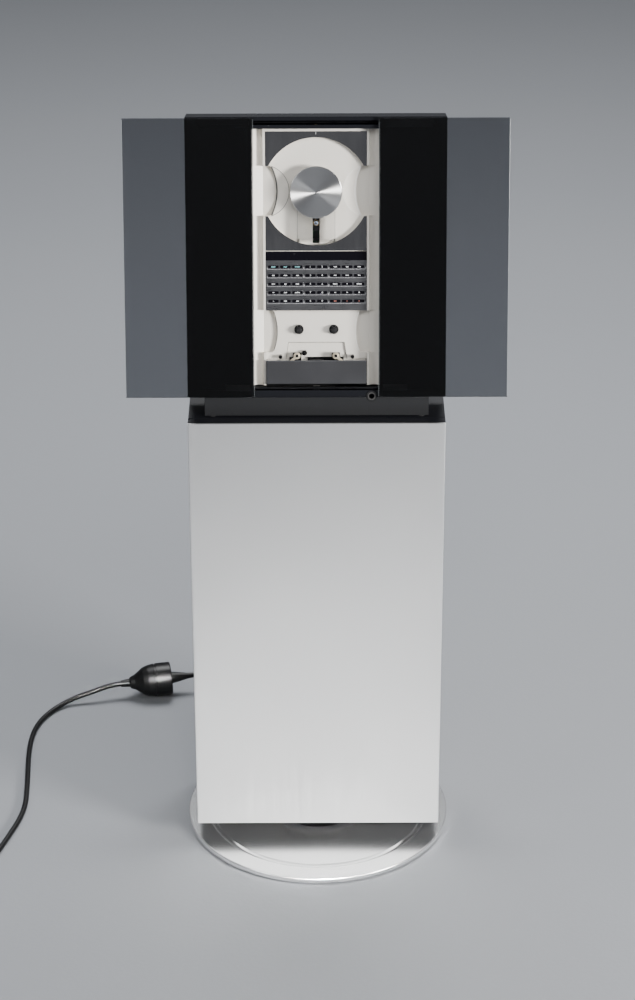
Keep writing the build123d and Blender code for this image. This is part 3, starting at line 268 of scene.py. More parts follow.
def newMaterial(name, look):
    # look: colour, metallic, roughness, and what else the finish needs
    material = bpy.data.materials.new(name)
    material.use_nodes = True
    tree = material.node_tree
    shader = tree.nodes["Principled BSDF"]
    shader.inputs["Metallic"].default_value = look.get("metallic", 0.0)
    shader.inputs["IOR"].default_value = look.get("ior", 1.5)
    for label, key in (("Anisotropic", "anisotropic"), ("Anisotropic Rotation", "anisotropicTurn"),
                       ("Specular IOR Level", "specular"), ("Transmission Weight", "transmission")):
        if key in look:
            shader.inputs[label].default_value = look[key]
    place = tree.nodes.new("ShaderNodeTexCoord").outputs["Object"]
    if "centre" in look:
        mapping = tree.nodes.new("ShaderNodeMapping")
        mapping.vector_type = "TEXTURE"
        mapping.inputs["Location"].default_value = look["centre"]
        mapping.inputs["Rotation"].default_value = look.get("turn", (0, 0, 0))
        tree.links.new(place, mapping.inputs["Vector"])
        place = mapping.outputs["Vector"]
    mottle = addGroup(tree, mottleGroup, {
        "Vector": place, "Colour": (*look["colour"], 1), "Scale": look.get("mottleScale", 6.0),
        "Change": look.get("change", 0.08), "Roughness": look["roughness"], "Marks": look.get("marks", 0.1)})
    colour = mottle.outputs["Colour"]
    if "dust" in look:
        specks = addGroup(tree, dustGroup, {"Vector": place, "Share": look["dust"]})
        blend = tree.nodes.new("ShaderNodeMix")
        blend.data_type = "RGBA"
        tree.links.new(specks.outputs["Mask"], blend.inputs[0])
        tree.links.new(colour, blend.inputs[6])
        blend.inputs[7].default_value = (*dustLook["colour"], 1)
        colour = blend.outputs[2]
    tree.links.new(colour, shader.inputs["Base Color"])
    rough = mottle.outputs["Roughness"]
    height = None
    if "grain" in look:
        lane = place
        if look.get("rings"):
            lane = addRings(tree, place, look["rings"])
        grain = addGroup(tree, grainGroup, {
            "Vector": lane, "Across": look["grain"], "Scale": look.get("grainScale", 900.0),
            "Low": -look.get("grainDepth", 0.05), "High": look.get("grainDepth", 0.05)})
        rough = addMath(tree, "ADD", rough, grain.outputs["Roughness"])
        height = grain.outputs["Height"]
    if "skin" in look:
        height = addGroup(tree, skinGroup, {"Vector": place, "Scale": look["skin"]}).outputs["Height"]
    tree.links.new(rough, shader.inputs["Roughness"])
    if height is not None:
        bump = tree.nodes.new("ShaderNodeBump")
        bump.inputs["Strength"].default_value = look.get("bump", 0.1)
        bump.inputs["Distance"].default_value = look.get("bumpDistance", 0.0002)
        tree.links.new(height, bump.inputs["Height"])
        tree.links.new(bump.outputs["Normal"], shader.inputs["Normal"])
    if "tangent" in look:
        tangent = tree.nodes.new("ShaderNodeTangent")
        tangent.direction_type = "RADIAL"
        tangent.axis = look["tangent"]
        tree.links.new(tangent.outputs["Tangent"], shader.inputs["Tangent"])
    return material


def addRings(tree, place, axes):
    # Turns a place into its distance from an axis, so that the grain runs in circles
    parts = tree.nodes.new("ShaderNodeSeparateXYZ")
    tree.links.new(place, parts.inputs[0])
    squares = [addMath(tree, "POWER", addMath(tree, "ABSOLUTE", parts.outputs[axis]), 2.0) for axis in axes]
    radius = addMath(tree, "SQRT", addMath(tree, "ADD", squares[0], squares[1]))
    ring = tree.nodes.new("ShaderNodeCombineXYZ")
    tree.links.new(radius, ring.inputs[0])
    return ring.outputs[0]


clampCentre = headPoint(0, 0.008, 0.2495)
headTurn = (-head["lean"], 0, 0)

finishes = {
    "satinPanel": {"colour": (0.88, 0.88, 0.875), "metallic": 0.9, "roughness": 0.38, "grain": (1, 1, 0.02),
                   "grainScale": 700.0, "grainDepth": 0.02, "bump": 0.03, "marks": 0.05, "change": 0.02},
    "turnedFoot": {"colour": (0.97, 0.975, 0.98), "metallic": 1.0, "roughness": 0.25, "rings": (0, 1),
                   "grain": (1, 1, 1), "grainScale": 1500.0, "grainDepth": 0.012, "bump": 0.003,
                   "change": 0.02, "marks": 0.05},
    "deckMetal": {"colour": (0.60, 0.60, 0.62), "metallic": 1.0, "roughness": 0.2, "centre": head["foot"],
                  "turn": headTurn, "grain": (1, 1, 0.05), "grainScale": 800.0, "grainDepth": 0.03,
                  "bump": 0.015, "change": 0.08, "marks": 0.16, "mottleScale": 24.0},
    "tapeMetal": {"colour": (0.50, 0.50, 0.52), "metallic": 1.0, "roughness": 0.26, "centre": head["foot"],
                  "turn": headTurn, "skin": 2400.0, "bump": 0.004, "change": 0.12, "marks": 0.08,
                  "mottleScale": 24.0},
    "keyMetal": {"colour": (0.46, 0.46, 0.48), "metallic": 1.0, "roughness": 0.3, "centre": head["foot"],
                 "turn": headTurn, "grain": (0.05, 1, 1), "grainScale": 1300.0, "grainDepth": 0.03,
                 "bump": 0.004, "change": 0.06, "mottleScale": 60.0},
    "clampMetal": {"colour": (0.95, 0.95, 0.95), "metallic": 1.0, "roughness": 0.32, "centre": clampCentre,
                   "turn": headTurn, "rings": (0, 2), "grain": (1, 1, 1), "grainScale": 2600.0,
                   "grainDepth": 0.01, "bump": 0.006, "anisotropic": 1.0, "anisotropicTurn": 0.25,
                   "tangent": "Y", "change": 0.02},
    "brightSteel": {"colour": (0.66, 0.66, 0.67), "metallic": 1.0, "roughness": 0.22, "grain": (0.05, 1, 1),
                    "grainScale": 1200.0, "grainDepth": 0.05, "bump": 0.04},
    "darkSteel": {"colour": (0.05, 0.05, 0.055), "metallic": 1.0, "roughness": 0.3, "grain": (0.05, 1, 1),
                  "grainScale": 1400.0, "grainDepth": 0.06, "bump": 0.05},
    "brass": {"colour": (0.72, 0.56, 0.28), "metallic": 1.0, "roughness": 0.28, "grain": (1, 1, 0.1),
              "grainScale": 1200.0, "grainDepth": 0.05, "bump": 0.04},
    "blackLacquer": {"colour": (0.008, 0.0085, 0.011), "roughness": 0.4, "specular": 0.3, "skin": 420.0,
                     "bump": 0.04, "bumpDistance": 0.0003, "marks": 0.12, "dust": 0.05},
    "anthracite": {"colour": (0.012, 0.0125, 0.014), "roughness": 0.5, "skin": 1500.0, "bump": 0.18,
                   "marks": 0.1, "dust": 0.04},
    "blackPaint": {"colour": (0.01, 0.01, 0.011), "roughness": 0.45, "skin": 1300.0, "bump": 0.15},
    "blackPlastic": {"colour": (0.014, 0.014, 0.015), "roughness": 0.42, "skin": 1600.0, "bump": 0.2},
    "frameBlack": {"colour": (0.009, 0.0098, 0.0125), "roughness": 0.26, "specular": 0.4, "skin": 1400.0,
                   "bump": 0.04, "dust": 0.05},
    "coverBlack": {"colour": (0.018, 0.018, 0.02), "roughness": 0.5, "skin": 1100.0, "bump": 0.35},
    "cream": {"colour": (0.80, 0.765, 0.70), "roughness": 0.36, "skin": 1700.0, "bump": 0.05, "change": 0.04,
              "marks": 0.08, "mottleScale": 14.0},
    "windowDark": {"colour": (0.004, 0.0035, 0.006), "roughness": 0.1, "marks": 0.05, "dust": 0.04},
    "rubber": {"colour": (0.014, 0.014, 0.014), "roughness": 0.7, "skin": 1900.0, "bump": 0.3},
    "hubBlack": {"colour": (0.006, 0.006, 0.0065), "roughness": 0.85, "specular": 0.02, "skin": 1300.0,
                 "bump": 0.2},
    "felt": {"colour": (0.03, 0.03, 0.032), "roughness": 0.95, "skin": 2600.0, "bump": 0.5},
    "leadSheath": {"colour": (0.003, 0.003, 0.0035), "roughness": 0.42, "specular": 0.22, "skin": 2200.0,
                   "bump": 0.08},
    "plugBlack": {"colour": (0.0025, 0.0025, 0.003), "roughness": 0.36, "specular": 0.25, "skin": 900.0,
                  "bump": 0.12},
    "board": {"colour": (0.02, 0.09, 0.04), "roughness": 0.35, "skin": 700.0, "bump": 0.2, "change": 0.5,
              "mottleScale": 180.0},
    "darkIron": {"colour": (0.09, 0.09, 0.095), "metallic": 0.7, "roughness": 0.5, "grain": (1, 0.05, 1),
                 "grainScale": 2400.0, "grainDepth": 0.1, "bump": 0.3},
    "printWhite": {"colour": (0.85, 0.87, 0.88), "roughness": 0.5, "marks": 0.1},
    "printTeal": {"colour": (0.25, 0.58, 0.60), "roughness": 0.5, "marks": 0.1},
    "printRed": {"colour": (0.42, 0.16, 0.13), "roughness": 0.5, "marks": 0.1},
    "lineMetal": {"colour": (0.66, 0.66, 0.68), "metallic": 0.3, "roughness": 0.4},
    "rollerRubber": {"colour": (0.05, 0.048, 0.045), "roughness": 0.6, "skin": 1500.0, "bump": 0.1},
    "rollerGold": {"colour": (0.68, 0.60, 0.46), "metallic": 0.5, "roughness": 0.36, "skin": 1500.0,
                   "bump": 0.05},
    "lensGold": {"colour": (0.80, 0.60, 0.28), "metallic": 1.0, "roughness": 0.25, "marks": 0.1},
    "lensBlue": {"colour": (0.55, 0.66, 0.90), "metallic": 0.8, "roughness": 0.12, "marks": 0.05},
    "nickel": {"colour": (0.42, 0.41, 0.39), "metallic": 1.0, "roughness": 0.34, "marks": 0.1},
    "tieCloth": {"colour": (0.03, 0.031, 0.034), "roughness": 0.85, "specular": 0.2, "skin": 3200.0,
                 "bump": 0.4, "marks": 0.1, "dust": 0.1},
    # The next three finishes colour fine lines of painted light: the light one is a painted highlight, the
    # grey one and the dark one are painted shade
    "paintedHighlightLight": {"colour": (0.92, 0.90, 0.86), "roughness": 0.3, "marks": 0.1},
    "paintedShadeGrey": {"colour": (0.17, 0.16, 0.15), "roughness": 0.4, "marks": 0.1},
    "paintedShadeDark": {"colour": (0.10, 0.10, 0.095), "roughness": 0.3, "marks": 0.1},
    # The glass edge finish below is a painted highlight on the ground ends of the glass doors
    "glassEdgeHighlight": {"colour": (0.26, 0.28, 0.29), "roughness": 0.22, "marks": 0.1},
    "smokedGlass": {"colour": (0.265, 0.274, 0.293), "roughness": 0.0, "ior": 1.7, "transmission": 1.0,
                    "marks": 0.01, "change": 0.01},
    "clearPlastic": {"colour": (0.97, 0.97, 0.96), "roughness": 0.03, "ior": 1.49, "transmission": 1.0,
                     "marks": 0.02, "change": 0.01},
}
materials = {name: newMaterial(name, look) for name, look in finishes.items()}
print("finishes:", len(materials))

nodeFinishes = {
    "satinPanel": ["door_panel"],
    "turnedFoot": ["base_disc"],
    "deckMetal": ["deck_plates"],
    "tapeMetal": ["cassette_plate"],
    "keyMetal": ["keypad_plate"] + [name for name in nodes if name.startswith("key_bar")],
    "clampMetal": ["clamp_disc"],
    "brightSteel": ["back_screws"],
    "darkSteel": ["rails_and_rods", "head_bridge"],
    "brass": ["door_pinion"],
    "blackLacquer": ["cabinet_shell", "cabinet_back", "door_frame"],
    "anthracite": ["neck_bracket"],
    "blackPaint": ["motors", "door_hinges"],
    "blackPlastic": ["disc_shelves", "left_door_carrier", "right_door_carrier", "disc_hub", "laser_sled",
                     "headphone_socket", "reel_hub_left", "reel_hub_right"],
    "frameBlack": ["front_frame"],
    "coverBlack": ["rear_cover"],
    "cream": ["deck_moulding"],
    "windowDark": ["display_window"],
    "rubber": ["base_feet", "neck_feet", "lead_gland"],
    "hubBlack": ["swivel_hub"],
    "board": ["circuit_boards"],
    "darkIron": ["transformer"],
    "felt": ["clamp_pad"],
    "rollerRubber": ["pinch_roller_left", "pinch_roller_right"],
    "smokedGlass": ["left_glass_door", "right_glass_door"],
    "clearPlastic": ["clamp_arm"],
    "plugBlack": ["mains_coupling", "mains_plug"],
}
for finish, names in nodeFinishes.items():
    for name in names:
        nodes[name].data.materials.clear()
        nodes[name].data.materials.append(materials[finish])
        smoothByAngle(nodes[name], 30)
print("nodes dressed")


cameraSettings = {"place": (0.0007, -3.2562, 2.1297), "down": 27.063, "roll": -0.170, "lens": 104.38,
                  "sensor": 36.0, "reach": 50}


def makeCamera(settings):
    data = bpy.data.cameras.new("camera")
    data.sensor_width = settings["sensor"]
    data.lens = settings["lens"]
    data.clip_end = settings["reach"]
    camera = bpy.data.objects.new("camera", data)
    bpy.context.scene.collection.objects.link(camera)
    tilt = Matrix.Rotation(math.radians(90 - settings["down"]), 4, "X")
    roll = Matrix.Rotation(math.radians(settings["roll"]), 4, "Z")
    camera.matrix_world = Matrix.Translation(settings["place"]) @ tilt @ roll
    bpy.context.scene.camera = camera


makeCamera(cameraSettings)
print("camera set")

leadLook = {"thin": 0.0056, "thick": 0.0070, "joint": (-0.2090, 0.3090, 0.0245), "turn": 10.0, "drop": 2.0,
            "exit": [(0, 86, 22), (0, 120, 22)], "plugTail": 0.032, "plugRun": 0.026,
            "socketTail": 0.072, "socketRun": 0.014, "thinLength": 0.355, "thickLength": 1.839,
            "coilMid": 0.0336, "coilGap": 0.0005, "halfTurns": 6, "dip": 0.0011,
            "coilEntry": (-0.427, -0.130), "coilHeading": 252.5, "pointsPerHalfTurn": 8,
            "runIn": (-0.037, -0.007), "runOut": (-0.0035, -0.007), "bevelSteps": 5, "curveSteps": 8,
            "order": 3}
hubToPlug = [
    (-3, 168, 15.8), (-8, 204, 5), (-20, 243, 2.9), (-39, 279, 2.8), (-66, 306, 7), (-98, 319, 18),
]
socketToCoil = [
    (-318, 284.5, 16.5), (-343, 279.5, 10), (-364, 267, 5), (-383, 241.6, 3.5), (-394, 210.6, 3.5),
    (-398, 174.6, 3.5), (-397.5, 131.6, 3.5), (-394.3, 85.6, 3.5), (-392, 43.6, 3.5), (-391, 10.6, 3.5),
    (-395.5, -22, 3.5), (-404.5, -56, 3.5),
]


def inMetres(points):
    return [Vector(point) / 1000 for point in points]


def jointLine():
    flat, drop = math.radians(leadLook["turn"]), math.radians(leadLook["drop"])
    return Vector((-math.cos(flat) * math.cos(drop), -math.sin(flat) * math.cos(drop), -math.sin(drop)))


def jointAt(distance):
    return Vector(leadLook["joint"]) + jointLine() * distance


def coilMatrix():
    heading = math.radians(leadLook["coilHeading"])
    outer = coilRadius()
    right = Vector((math.sin(heading), -math.cos(heading), 0))
    ahead = Vector((math.cos(heading), math.sin(heading), 0))
    middle = Vector((*leadLook["coilEntry"], 0)) + right * outer
    matrix = Matrix((right, ahead, (0, 0, 1))).transposed().to_4x4()
    matrix.translation = middle
    return matrix


def coilRadius():
    pitch = leadLook["thick"] + leadLook["coilGap"]
    return leadLook["coilMid"] + leadLook["halfTurns"] * pitch / 4


def coilPoints():
    # Control points round each half turn: in on the lower layer, up, and out on the upper one
    pitch = leadLook["thick"] + leadLook["coilGap"]
    low = leadLook["thick"] / 2
    radii = [coilRadius() - pitch / 2 * turn for turn in range(leadLook["halfTurns"])]
    radii.append(radii[-1] - pitch / 2 - leadLook["dip"])
    stops = [(radius, low) for radius in radii] + [(radius, low + pitch) for radius in reversed(radii)]
    count = leadLook["pointsPerHalfTurn"]
    swell = 1 / math.cos(math.pi / count / 2)  # a NURBS line passes inside its control points
    matrix = coilMatrix()
    points = [matrix @ Vector((-coilRadius(), y, low)) for y in leadLook["runIn"]]
    side = -1
    for (startRadius, startZ), (endRadius, endZ) in zip(stops, stops[1:]):
        middle = side * (startRadius - endRadius) / 2
        radius = (startRadius + endRadius) / 2
        for part in range(count):
            angle = math.pi * (part + 0.5) / count
            rise = startZ + (endZ - startZ) * (part + 0.5) / count
            x = middle + side * radius * math.cos(angle) * swell
            y = radius * math.sin(angle) * swell * (1 if side < 0 else -1)
            points.append(matrix @ Vector((x, y, rise)))
        side = -side
    return points + [matrix @ Vector((coilRadius(), y, low + pitch)) for y in leadLook["runOut"]]


def nurbsLead(name, points, thick, replaced, withPieces):
    data = bpy.data.curves.new(name, "CURVE")
    data.dimensions = "3D"
    data.bevel_depth = thick / 2
    data.bevel_resolution = leadLook["bevelSteps"]
    data.resolution_u = leadLook["curveSteps"]
    data.use_fill_caps = True
    line = data.splines.new("NURBS")
    line.points.add(len(points) - 1)
    for spot, point in zip(line.points, points):
        spot.co = (*point, 1)
    line.order_u = leadLook["order"]
    line.use_endpoint_u = True
    lead = bpy.data.objects.new(name, data)
    bpy.context.scene.collection.objects.link(lead)
    data.materials.append(materials["leadSheath"])
    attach(lead, "base")
    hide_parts(*replaced)


tieLook = {"width": 0.009, "thick": 0.0009, "slack": 0.0004, "corner": 0.0045, "pitches": 1.5,
           "cornerSteps": 6}


def makeTie():
    # The strap round the put-away turns, across their two layers
    pitch = leadLook["thick"] + leadLook["coilGap"]
    half = pitch * tieLook["pitches"] + leadLook["thick"] / 2 + tieLook["slack"]
    inner = leadLook["coilMid"] - leadLook["dip"] - half
    outer = leadLook["coilMid"] + half
    tall = leadLook["thick"] + pitch + tieLook["slack"]
    bpy.ops.mesh.primitive_cube_add(size=1, location=(0, (inner + outer) / 2, tieLook["thick"] + tall / 2))
    tie = bpy.context.object
    tie.name = "coilTie"
    tie.scale = (tieLook["width"], outer - inner, tall)
    applyPlace(tie)
    editSelected(tie, lambda face: abs(face.normal.x) > 0.5)
    bpy.ops.mesh.delete(type="ONLY_FACE")
    editSelected(tie, lambda edge: not edge.is_boundary, "EDGE")
    bpy.ops.mesh.bevel(offset=tieLook["corner"], segments=tieLook["cornerSteps"])
    turnOutwards()
    raiseFlat(tie, tieLook["thick"])
    tie.matrix_world = coilMatrix()
    applyPlace(tie)
    smoothByAngle(tie)
    finishPiece(tie, "base", materials["tieCloth"])
    return tie


def makeLeads():
    look = leadLook
    first = inMetres(look["exit"]) + inMetres(hubToPlug)
    first += [jointAt(-look["plugTail"] - look["plugRun"]), jointAt(-look["plugTail"])]
    nurbsLead("applianceLead", first, look["thin"], ["appliance_lead"],
              [nodes["lead_gland"], nodes["mains_coupling"]])
    second = [jointAt(look["socketTail"]), jointAt(look["socketTail"] + look["socketRun"])]
    second += inMetres(socketToCoil) + coilPoints()
    nurbsLead("extensionLead", second, look["thick"], ["extension_lead", "lead_coil"],
              [nodes["mains_plug"], makeTie()])


makeLeads()
print("leads laid")


keyLook = {
    "front": 0.0158, "windowGap": 0.0009, "windowHeight": 0.0035, "windowDeep": 0.00012, "corner": 0.0012,
    "topRow": 0.1584, "pitch": 0.01045, "markHeight": 0.0021,
    "groups": {"left": (-0.0592, -0.0156, 3), "middle": (-0.0144, 0.0144, 2), "right": (0.0156, 0.0592, 3)},
    "printDeep": 0.00004, "printSunk": 0.00002, "outline": 0.00034, "outlineDown": 0.0030,
    "outlineOut": 0.0002, "outlineFront": 0.016, "outlineDeep": 0.00012, "hook": 0.0024,
}
legends = {
    "left": [("row5", "row4", "row6"), ("row3", "row4", "row3"), ("row4", "row3", "row4"),
             ("back", "row4", "row6"), ("minus", "row4", "row3")],
    "middle": [("1", "2"), ("3", "4"), ("5", "6"), ("7", "8"), ("9", "0")],
    "right": [("row4", "row3", "row4"), ("row3", "row4", "row3"), ("row5", "up", "row6"),
              ("back", "play", "square"), ("row3", "down", "dot")],
}
rowBlocks = {"row3": (0.9, 0.6, 0.8), "row4": (0.7, 0.9, 0.6, 0.7), "row5": (0.8, 0.6, 0.9, 0.6, 0.8),
             "row6": (0.6, 0.8, 0.7, 0.9, 0.6, 0.7)}
legendColours = {(0, "left"): "printTeal", (4, "right"): "printRed"}
# The signs drawn as one shape: corners, size and turn in degrees
plainSigns = {"play": (3, 1.0, -90), "up": (3, 0.8, 0), "down": (3, 0.8, 180), "square": (4, 1.0, 45),
              "dot": (20, 0.62, 0)}
signLook = {"textSize": 3.1, "arrow": 0.75, "arrows": (-0.55, 0.6), "minus": (0.95, 0.24), "barStep": 1.3,
            "barWidth": 0.68, "barHeight": 0.86}


def flatShape(corners, size, turn=0.0, stretch=(1, 1), shift=(0, 0)):
    # A filled regular outline, flat in XY, drawn from a circle
    bpy.ops.mesh.primitive_circle_add(vertices=corners, radius=size, fill_type="NGON", rotation=(0, 0, turn))
    shape = bpy.context.object
    applyPlace(shape)
    shape.scale = (stretch[0], stretch[1], 1)
    shape.location = (shift[0], shift[1], 0)
    applyPlace(shape)
    return shape


def drawMark(kind):
    # A plain sign about two millimetres high, flat in XY
    unit = keyLook["markHeight"] / 2
    if kind.isdigit():
        bpy.ops.object.text_add()
        text = bpy.context.object
        text.data.body = kind
        text.data.align_x = "CENTER"
        text.data.align_y = "CENTER"
        text.data.size = unit * signLook["textSize"]
        activate(text)
        bpy.ops.object.convert(target="MESH")
        return bpy.context.object
    if kind in plainSigns:
        corners, size, turn = plainSigns[kind]
        return flatShape(corners, unit * size, math.radians(turn))
    if kind == "back":
        return joinPieces([flatShape(3, unit * signLook["arrow"], math.radians(90), shift=(unit * dx, 0))
                           for dx in signLook["arrows"]], "mark")
    if kind == "minus":
        return flatShape(4, unit, math.radians(45), stretch=signLook["minus"])
    step = signLook["barStep"]
    bars, start = [], -sum(rowBlocks[kind]) * step / 2
    for wide in rowBlocks[kind]:
        bars.append(flatShape(4, unit, math.radians(45), shift=((start + wide * step / 2) * unit, 0),
                              stretch=(wide * signLook["barWidth"], signLook["barHeight"])))
        start += wide * step
    return joinPieces(bars, "mark")


def runsDeep(edge):
    run = edge.verts[0].co - edge.verts[1].co
    return abs(run.y) > abs(run.x) + abs(run.z)


def makeWindow(x, width, v):
    look = keyLook
    bpy.ops.mesh.primitive_cube_add(size=1, location=(x, look["front"], v))
    window = bpy.context.object
    window.scale = (width, look["windowDeep"] * 2, look["windowHeight"])
    applyPlace(window)
    editSelected(window, runsDeep, "EDGE")
    bpy.ops.mesh.bevel(offset=look["corner"], segments=4)
    leaveEdit()
    return window


def makeKeyFaces():
    look = keyLook
    for group, (low, high, count) in look["groups"].items():
        step = (high - low) / count
        for row, signs in enumerate(legends[group]):
            v = look["topRow"] - row * look["pitch"]
            windows, marks = [], []
            for index, sign in enumerate(signs):
                x = low + step * (index + 0.5)
                windows.append(makeWindow(x, step - look["windowGap"] * 2, v))
                mark = drawMark(sign)
                raiseFlat(mark, look["printDeep"])
                faceFront(mark, x, look["front"] - look["windowDeep"] - look["printSunk"], v)
                marks.append(mark)
            face = joinPieces(windows, "windows")
            face.data.materials.append(materials["windowDark"])
            legend = joinPieces(marks, "marks")
            legend.data.materials.clear()
            legend.data.materials.append(materials[legendColours.get((row, group), "printWhite")])
            face = joinPieces([face, legend], f"keyFace_{row + 1}_{group}")
            placeInHead(face)
            finishPiece(face, f"key_bar_{row + 1}_{group}", None)
    print("key faces made")


def makeOutlines():
    # The fine light line under each group of keys, turned up at both ends
    look = keyLook
    strips = []
    for low, high, _ in look["groups"].values():
        for row in range(len(legends["left"])):
            v = look["topRow"] - row * look["pitch"]
            bottom = v - look["outlineDown"]
            left, right = low - look["outlineOut"], high + look["outlineOut"]
            sides = [(left, bottom + look["hook"] / 2), (right, bottom + look["hook"] / 2)]
            spans = [((left + right) / 2, bottom, right - left, look["outline"])]
            spans += [(x, z, look["outline"], look["hook"]) for x, z in sides]
            for x, z, wide, tall in spans:
                bpy.ops.mesh.primitive_cube_add(size=1, location=(x, look["outlineFront"], z))
                strip = bpy.context.object
                strip.scale = (wide, look["outlineDeep"], tall)
                applyPlace(strip)
                strips.append(strip)
    outline = joinPieces(strips, "keyOutlines")
    placeInHead(outline)
    finishPiece(outline, "cabinet", materials["lineMetal"])
    print("key outlines made")


makeKeyFaces()
makeOutlines()


def shapeUp(radius, profile, corners):
    # A disc drawn up into a turned piece: each step extrudes the top face and sets its size
    bpy.ops.mesh.primitive_circle_add(vertices=corners, radius=radius, fill_type="NGON")
    piece = bpy.context.object
    editSelected(piece, lambda face: True)
    height, size = 0.0, radius
    for nextSize, nextHeight in profile:
        bpy.ops.mesh.extrude_region_move(TRANSFORM_OT_translate={"value": (0, 0, nextHeight - height)})
        scale = nextSize / size
        bpy.ops.transform.resize(value=(scale, scale, 1), center_override=(0, 0, nextHeight))
        height, size = nextHeight, nextSize
    turnOutwards()
    return piece


lensLook = {"middle": (0, 0.211), "back": 0.0214,
            "holder": (0.0036, [(0.0036, 0.0004), (0.0033, 0.0007), (0.0028, 0.0007), (0.0026, 0.0003)]),
            "lens": (0.0027, [(0.0027, 0.0006), (0.0024, 0.0011), (0.0018, 0.0015), (0.0009, 0.00175)])}


def makeLens():
    x, v = lensLook["middle"]
    for name, material, slot in (("holder", "lensGold", "pinion_brass"), ("lens", "lensBlue", "window")):
        piece = shapeUp(*lensLook[name], corners=40)
        piece.name = "laser" + name.capitalize()
        faceFront(piece, x, lensLook["back"], v)
        placeInHead(piece)
        smoothByAngle(piece)
        finishPiece(piece, "laser_sled", materials[material])
    print("laser lens made")


holderLook = {"middle": (0.0236, 0.0498), "back": 0.01308, "arm": (0.0052, -0.0042), "bevel": 0.00015,
              "eye": (0.0042, [(0.0042, 0.0005)]),
              "collar": (0.0026, [(0.0026, 0.0007), (0.00208, 0.0009)])}


def makeRollerHolders():
    # The holder in front of each pinch roller: a round eye with an arm that runs down and out
    look = holderLook
    for side, name in ((-1, "left"), (1, "right")):
        eye = shapeUp(*look["eye"], corners=16)
        editSelected(eye, lambda face: (face.normal.x * side > 0.5 and face.normal.y < -0.3
                                        and abs(face.normal.z) < 0.5))
        run = (look["arm"][0] * side, look["arm"][1], 0)
        bpy.ops.mesh.extrude_region_move(TRANSFORM_OT_translate={"value": run})
        leaveEdit()
        collar = shapeUp(*look["collar"], corners=24)
        piece = joinPieces([eye, collar], f"rollerHolder_{name}")
        faceFront(piece, side * look["middle"][0], look["back"], look["middle"][1])
        bevel = piece.modifiers.new("edges", "BEVEL")
        bevel.width = look["bevel"]
        bevel.segments = 2
        applyModifiers(piece)
        placeInHead(piece)
        smoothByAngle(piece)
        finishPiece(piece, "head_bridge", materials["rollerGold"])
    print("roller holders made")


socketRing = {"place": (0.067, 0.0049, 0.0012), "radius": 0.0044, "wide": 0.0007, "deep": 0.0004}


def makeSocketRing():
    # The nickel bush that shows in the mouth of the headphone socket
    look = socketRing
    bpy.ops.mesh.primitive_circle_add(vertices=40, radius=look["radius"], fill_type="NGON")
    ring = bpy.context.object
    ring.name = "socketRing"
    editSelected(ring, lambda face: True)
    bpy.ops.mesh.inset(thickness=look["wide"])
    bpy.ops.mesh.delete(type="FACE")
    bpy.ops.mesh.select_all(action="SELECT")
    bpy.ops.mesh.extrude_region_move(TRANSFORM_OT_translate={"value": (0, 0, look["deep"])})
    turnOutwards()
    faceFront(ring, *look["place"])
    placeInHead(ring)
    smoothByAngle(ring)
    finishPiece(ring, "cabinet", materials["nickel"])
    print("socket ring made")


barFace = {"share": 0.2, "rise": 0.00004}


def makeBar(x, w, v):
    # A straight strip between the given limits, its face drawn in and raised a little so that its edges read
    size = [high - low for low, high in (x, w, v)]
    bpy.ops.mesh.primitive_cube_add(size=1, location=[(low + high) / 2 for low, high in (x, w, v)])
    bar = bpy.context.object
    bar.scale = size
    applyPlace(bar)
    editSelected(bar, lambda face: face.normal.y < -0.5)
    bpy.ops.mesh.inset(thickness=min(size[0], size[2]) * barFace["share"])
    bpy.ops.transform.translate(value=(0, -min(barFace["rise"], size[1] * barFace["share"]), 0))
    leaveEdit()
    return bar


windowSurround = {"x": (-0.0613, 0.0613), "w": (0.01588, 0.01598), "v": (0.1662, 0.1772)}
# Where dark strips of painted shade stand for the edges of the clamp's clear legs
legEdgeShadeLook = {"x": 0.0227, "line": 0.00035, "w": (0.00972, 0.0113), "v": (0.190, 0.2335)}
# Where a line of painted shade runs along the step round the head bridge's recess
bridgeShadeLook = {"width": 0.00055, "w": (0.02192, 0.02202),
              "runs": [((-0.034, 0.065), (0.034, 0.065)), ((0.034, 0.065), (0.0372, 0.0445)),
                       ((-0.034, 0.065), (-0.0372, 0.0445))]}
tickLook = {"x": (-0.00018, 0.00018), "w": (0.01592, 0.01598), "v": (0.3180, 0.3212)}


def makeLine(start, end, w, width):
    # A strip of one width between two places on the deck
    run = Vector((end[0] - start[0], 0, end[1] - start[1]))
    line = makeBar((-run.length / 2, run.length / 2), w, (-width / 2, width / 2))
    line.rotation_euler = (0, -math.atan2(run.z, run.x), 0)
    line.location = ((start[0] + end[0]) / 2, 0, (start[1] + end[1]) / 2)
    applyPlace(line)
    return line


arcLook = {"lift": 0.00006, "thick": 0.00005, "from": 0.0150}
# The finger room's rims, drawn as lines of painted shade on the left and painted highlight on the right
scoopRim = {"middle": (0.064, 0.2495), "radius": 0.0319, "width": 0.0006, "half": 72}
gripRims = [{"middle": (0.115, 0.2495), "radius": 0.0688, "width": 0.0017, "half": 26.0},
            {"middle": (0.115, 0.0789), "radius": 0.0679, "width": 0.0008, "half": 22.3}]


